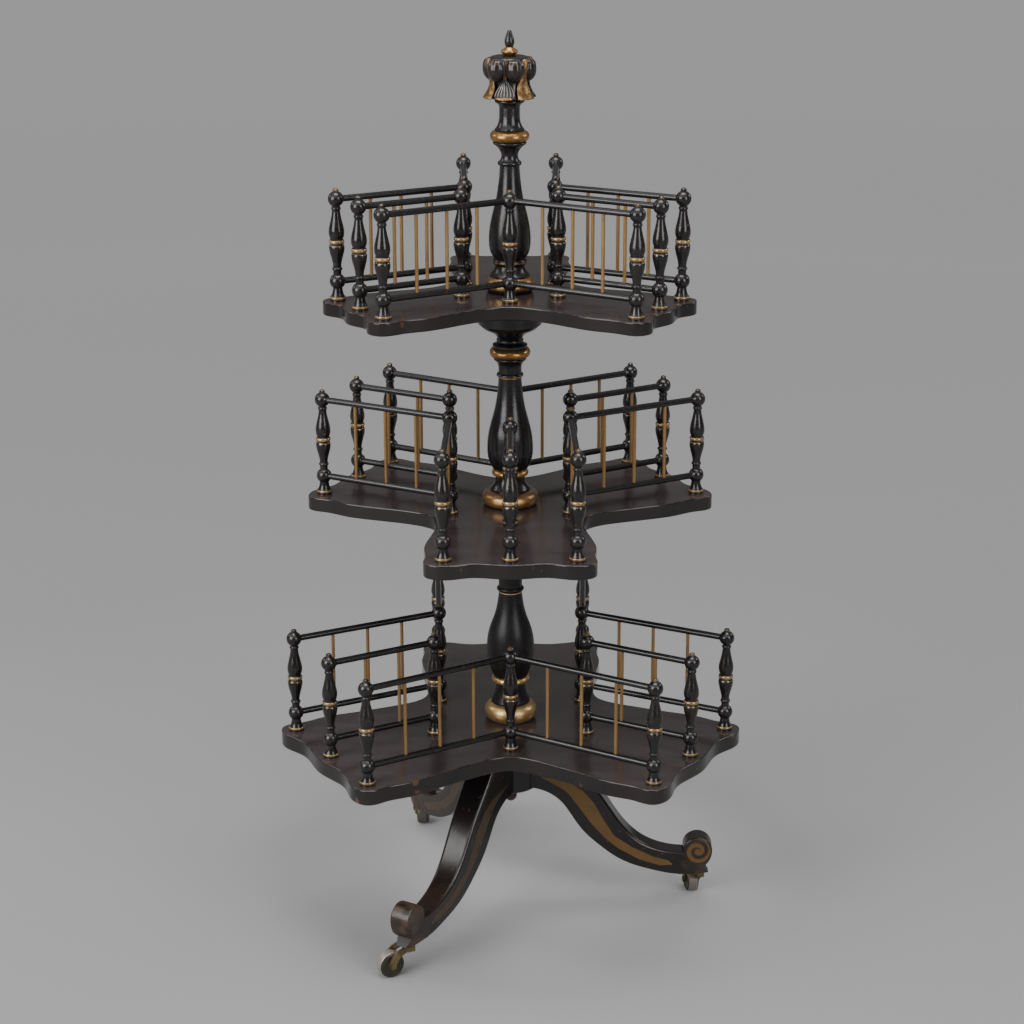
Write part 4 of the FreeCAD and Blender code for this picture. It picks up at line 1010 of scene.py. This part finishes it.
def carved_leaf(name, widths, columns, rib):
    """One upright leaf at the front, swept round the axis, ribbed, and narrowed row by row."""
    points = [(out, foot + up) for out, up in LEAF_LINE]
    piece = spun(name, points, -LEAF_SPREAD, 2.0 * LEAF_SPREAD, columns)
    step = 2.0 * LEAF_SPREAD / columns

    def on_rib(co):
        column = round((math.degrees(math.atan2(co.x, -co.y)) + LEAF_SPREAD) / step)
        return column % 2 == 1 and co.z < foot + RIB_TOP

    pick(piece, on_rib)
    bpy.ops.transform.resize(value=(rib, rib, 1.0), center_override=(0.0, 0.0, foot))
    mark_ridges(piece)
    for (out, up), half in zip(LEAF_LINE, widths):
        pick(piece, lambda co: abs(co.z - foot - up) < 0.0004)
        narrow = half / (out * math.sin(math.radians(LEAF_SPREAD)))
        bpy.ops.transform.resize(value=(narrow, 1.0, 1.0), center_override=(0.0, 0.0, foot))
    modified(piece, "SOLIDIFY", thickness=LEAF_THICK, offset=-1.0)
    modified(piece, "SUBSURF", levels=1, render_levels=1)
    return piece


print("leaf line of", len(LEAF_LINE), "points")

# %% Gilt leaves
GILT_TURNS = [47.0, 167.0, 287.0]
LEAF_GOLD = (0.50, 0.315, 0.135, 1.0)

gilt_leaf = carved_leaf("gilt_leaf", BELL_WIDTHS, 8, 1.012)
gilt_leaves = ring_of(gilt_leaf, "gilt_leaves", GILT_TURNS)


def leaf_look(place):
    """Bronze leaf, mottled with dark spots."""
    gold, rough = gold_leaf(place, LEAF_GOLD, 1.2)
    spots = place.noise(150.0, 4.0).above(0.45, 0.16) * 0.8
    bump = place.noise(190.0, 3.0).bumped(0.5, 0.001)
    return place.surface(Base_Color=spots.mixed(gold, DARK_GOLD), Roughness=rough + 0.08,
                         Metallic=0.75, Normal=bump)


placed(gilt_leaves, finish("leaf_gilt", leaf_look))

# %% Fan leaves
FAN_TURNS = [-13.0, 107.0, 227.0]
LIP_TOP = 0.0062
LIP_HALF = 0.0125
EDGE_START = 0.034
RIB_HEIGHTS = (0.0085, 0.0235)
RIB_HIGHLIGHT = (0.24, 0.225, 0.210, 1.0)


def fan_look(place):
    """Black leaf with gilt lip, pale painted highlights on its ribs, and gilt along both edges of
    its upper half.
    """
    height = place.axis(2) - foot
    turn = place.axis(0).maths("ARCTAN2", 0.0 - place.axis(1)) - math.radians(FAN_TURNS[0])
    fold = abs(turn.maths("WRAP", math.radians(60.0), math.radians(-60.0)))
    across = fold * place.axis(0).long_side(place.axis(1))
    edge = (across - height * 0.13).above(-0.0036, 0.0005) * height.above(EDGE_START, 0.002)
    lip = (1.0 - height.above(LIP_TOP, 0.001)) * (1.0 - across.above(LIP_HALF, 0.0008))
    ridge = place.attribute("ridge")
    # painted highlight: pale lines along the rib tops
    worn = ridge.above(0.70, 0.25) * height.band(*RIB_HEIGHTS, 0.004)
    colour = worn.mixed(place.noise(60.0, 3.0).mixed(INK, BROWN_INK), RIB_HIGHLIGHT)
    gilt = edge.either(lip)
    gold, rough = gold_leaf(place, OLD_GOLD)
    return place.surface(Base_Color=gilt.mixed(colour, gold), Roughness=rough, Metallic=gilt * 0.8)


fan_leaf = carved_leaf("fan_leaf", FAN_WIDTHS, 14, 1.04)
fan_leaves = ring_of(fan_leaf, "fan_leaves", FAN_TURNS)
placed(fan_leaves, finish("fan_leaf_lacquer", fan_look))
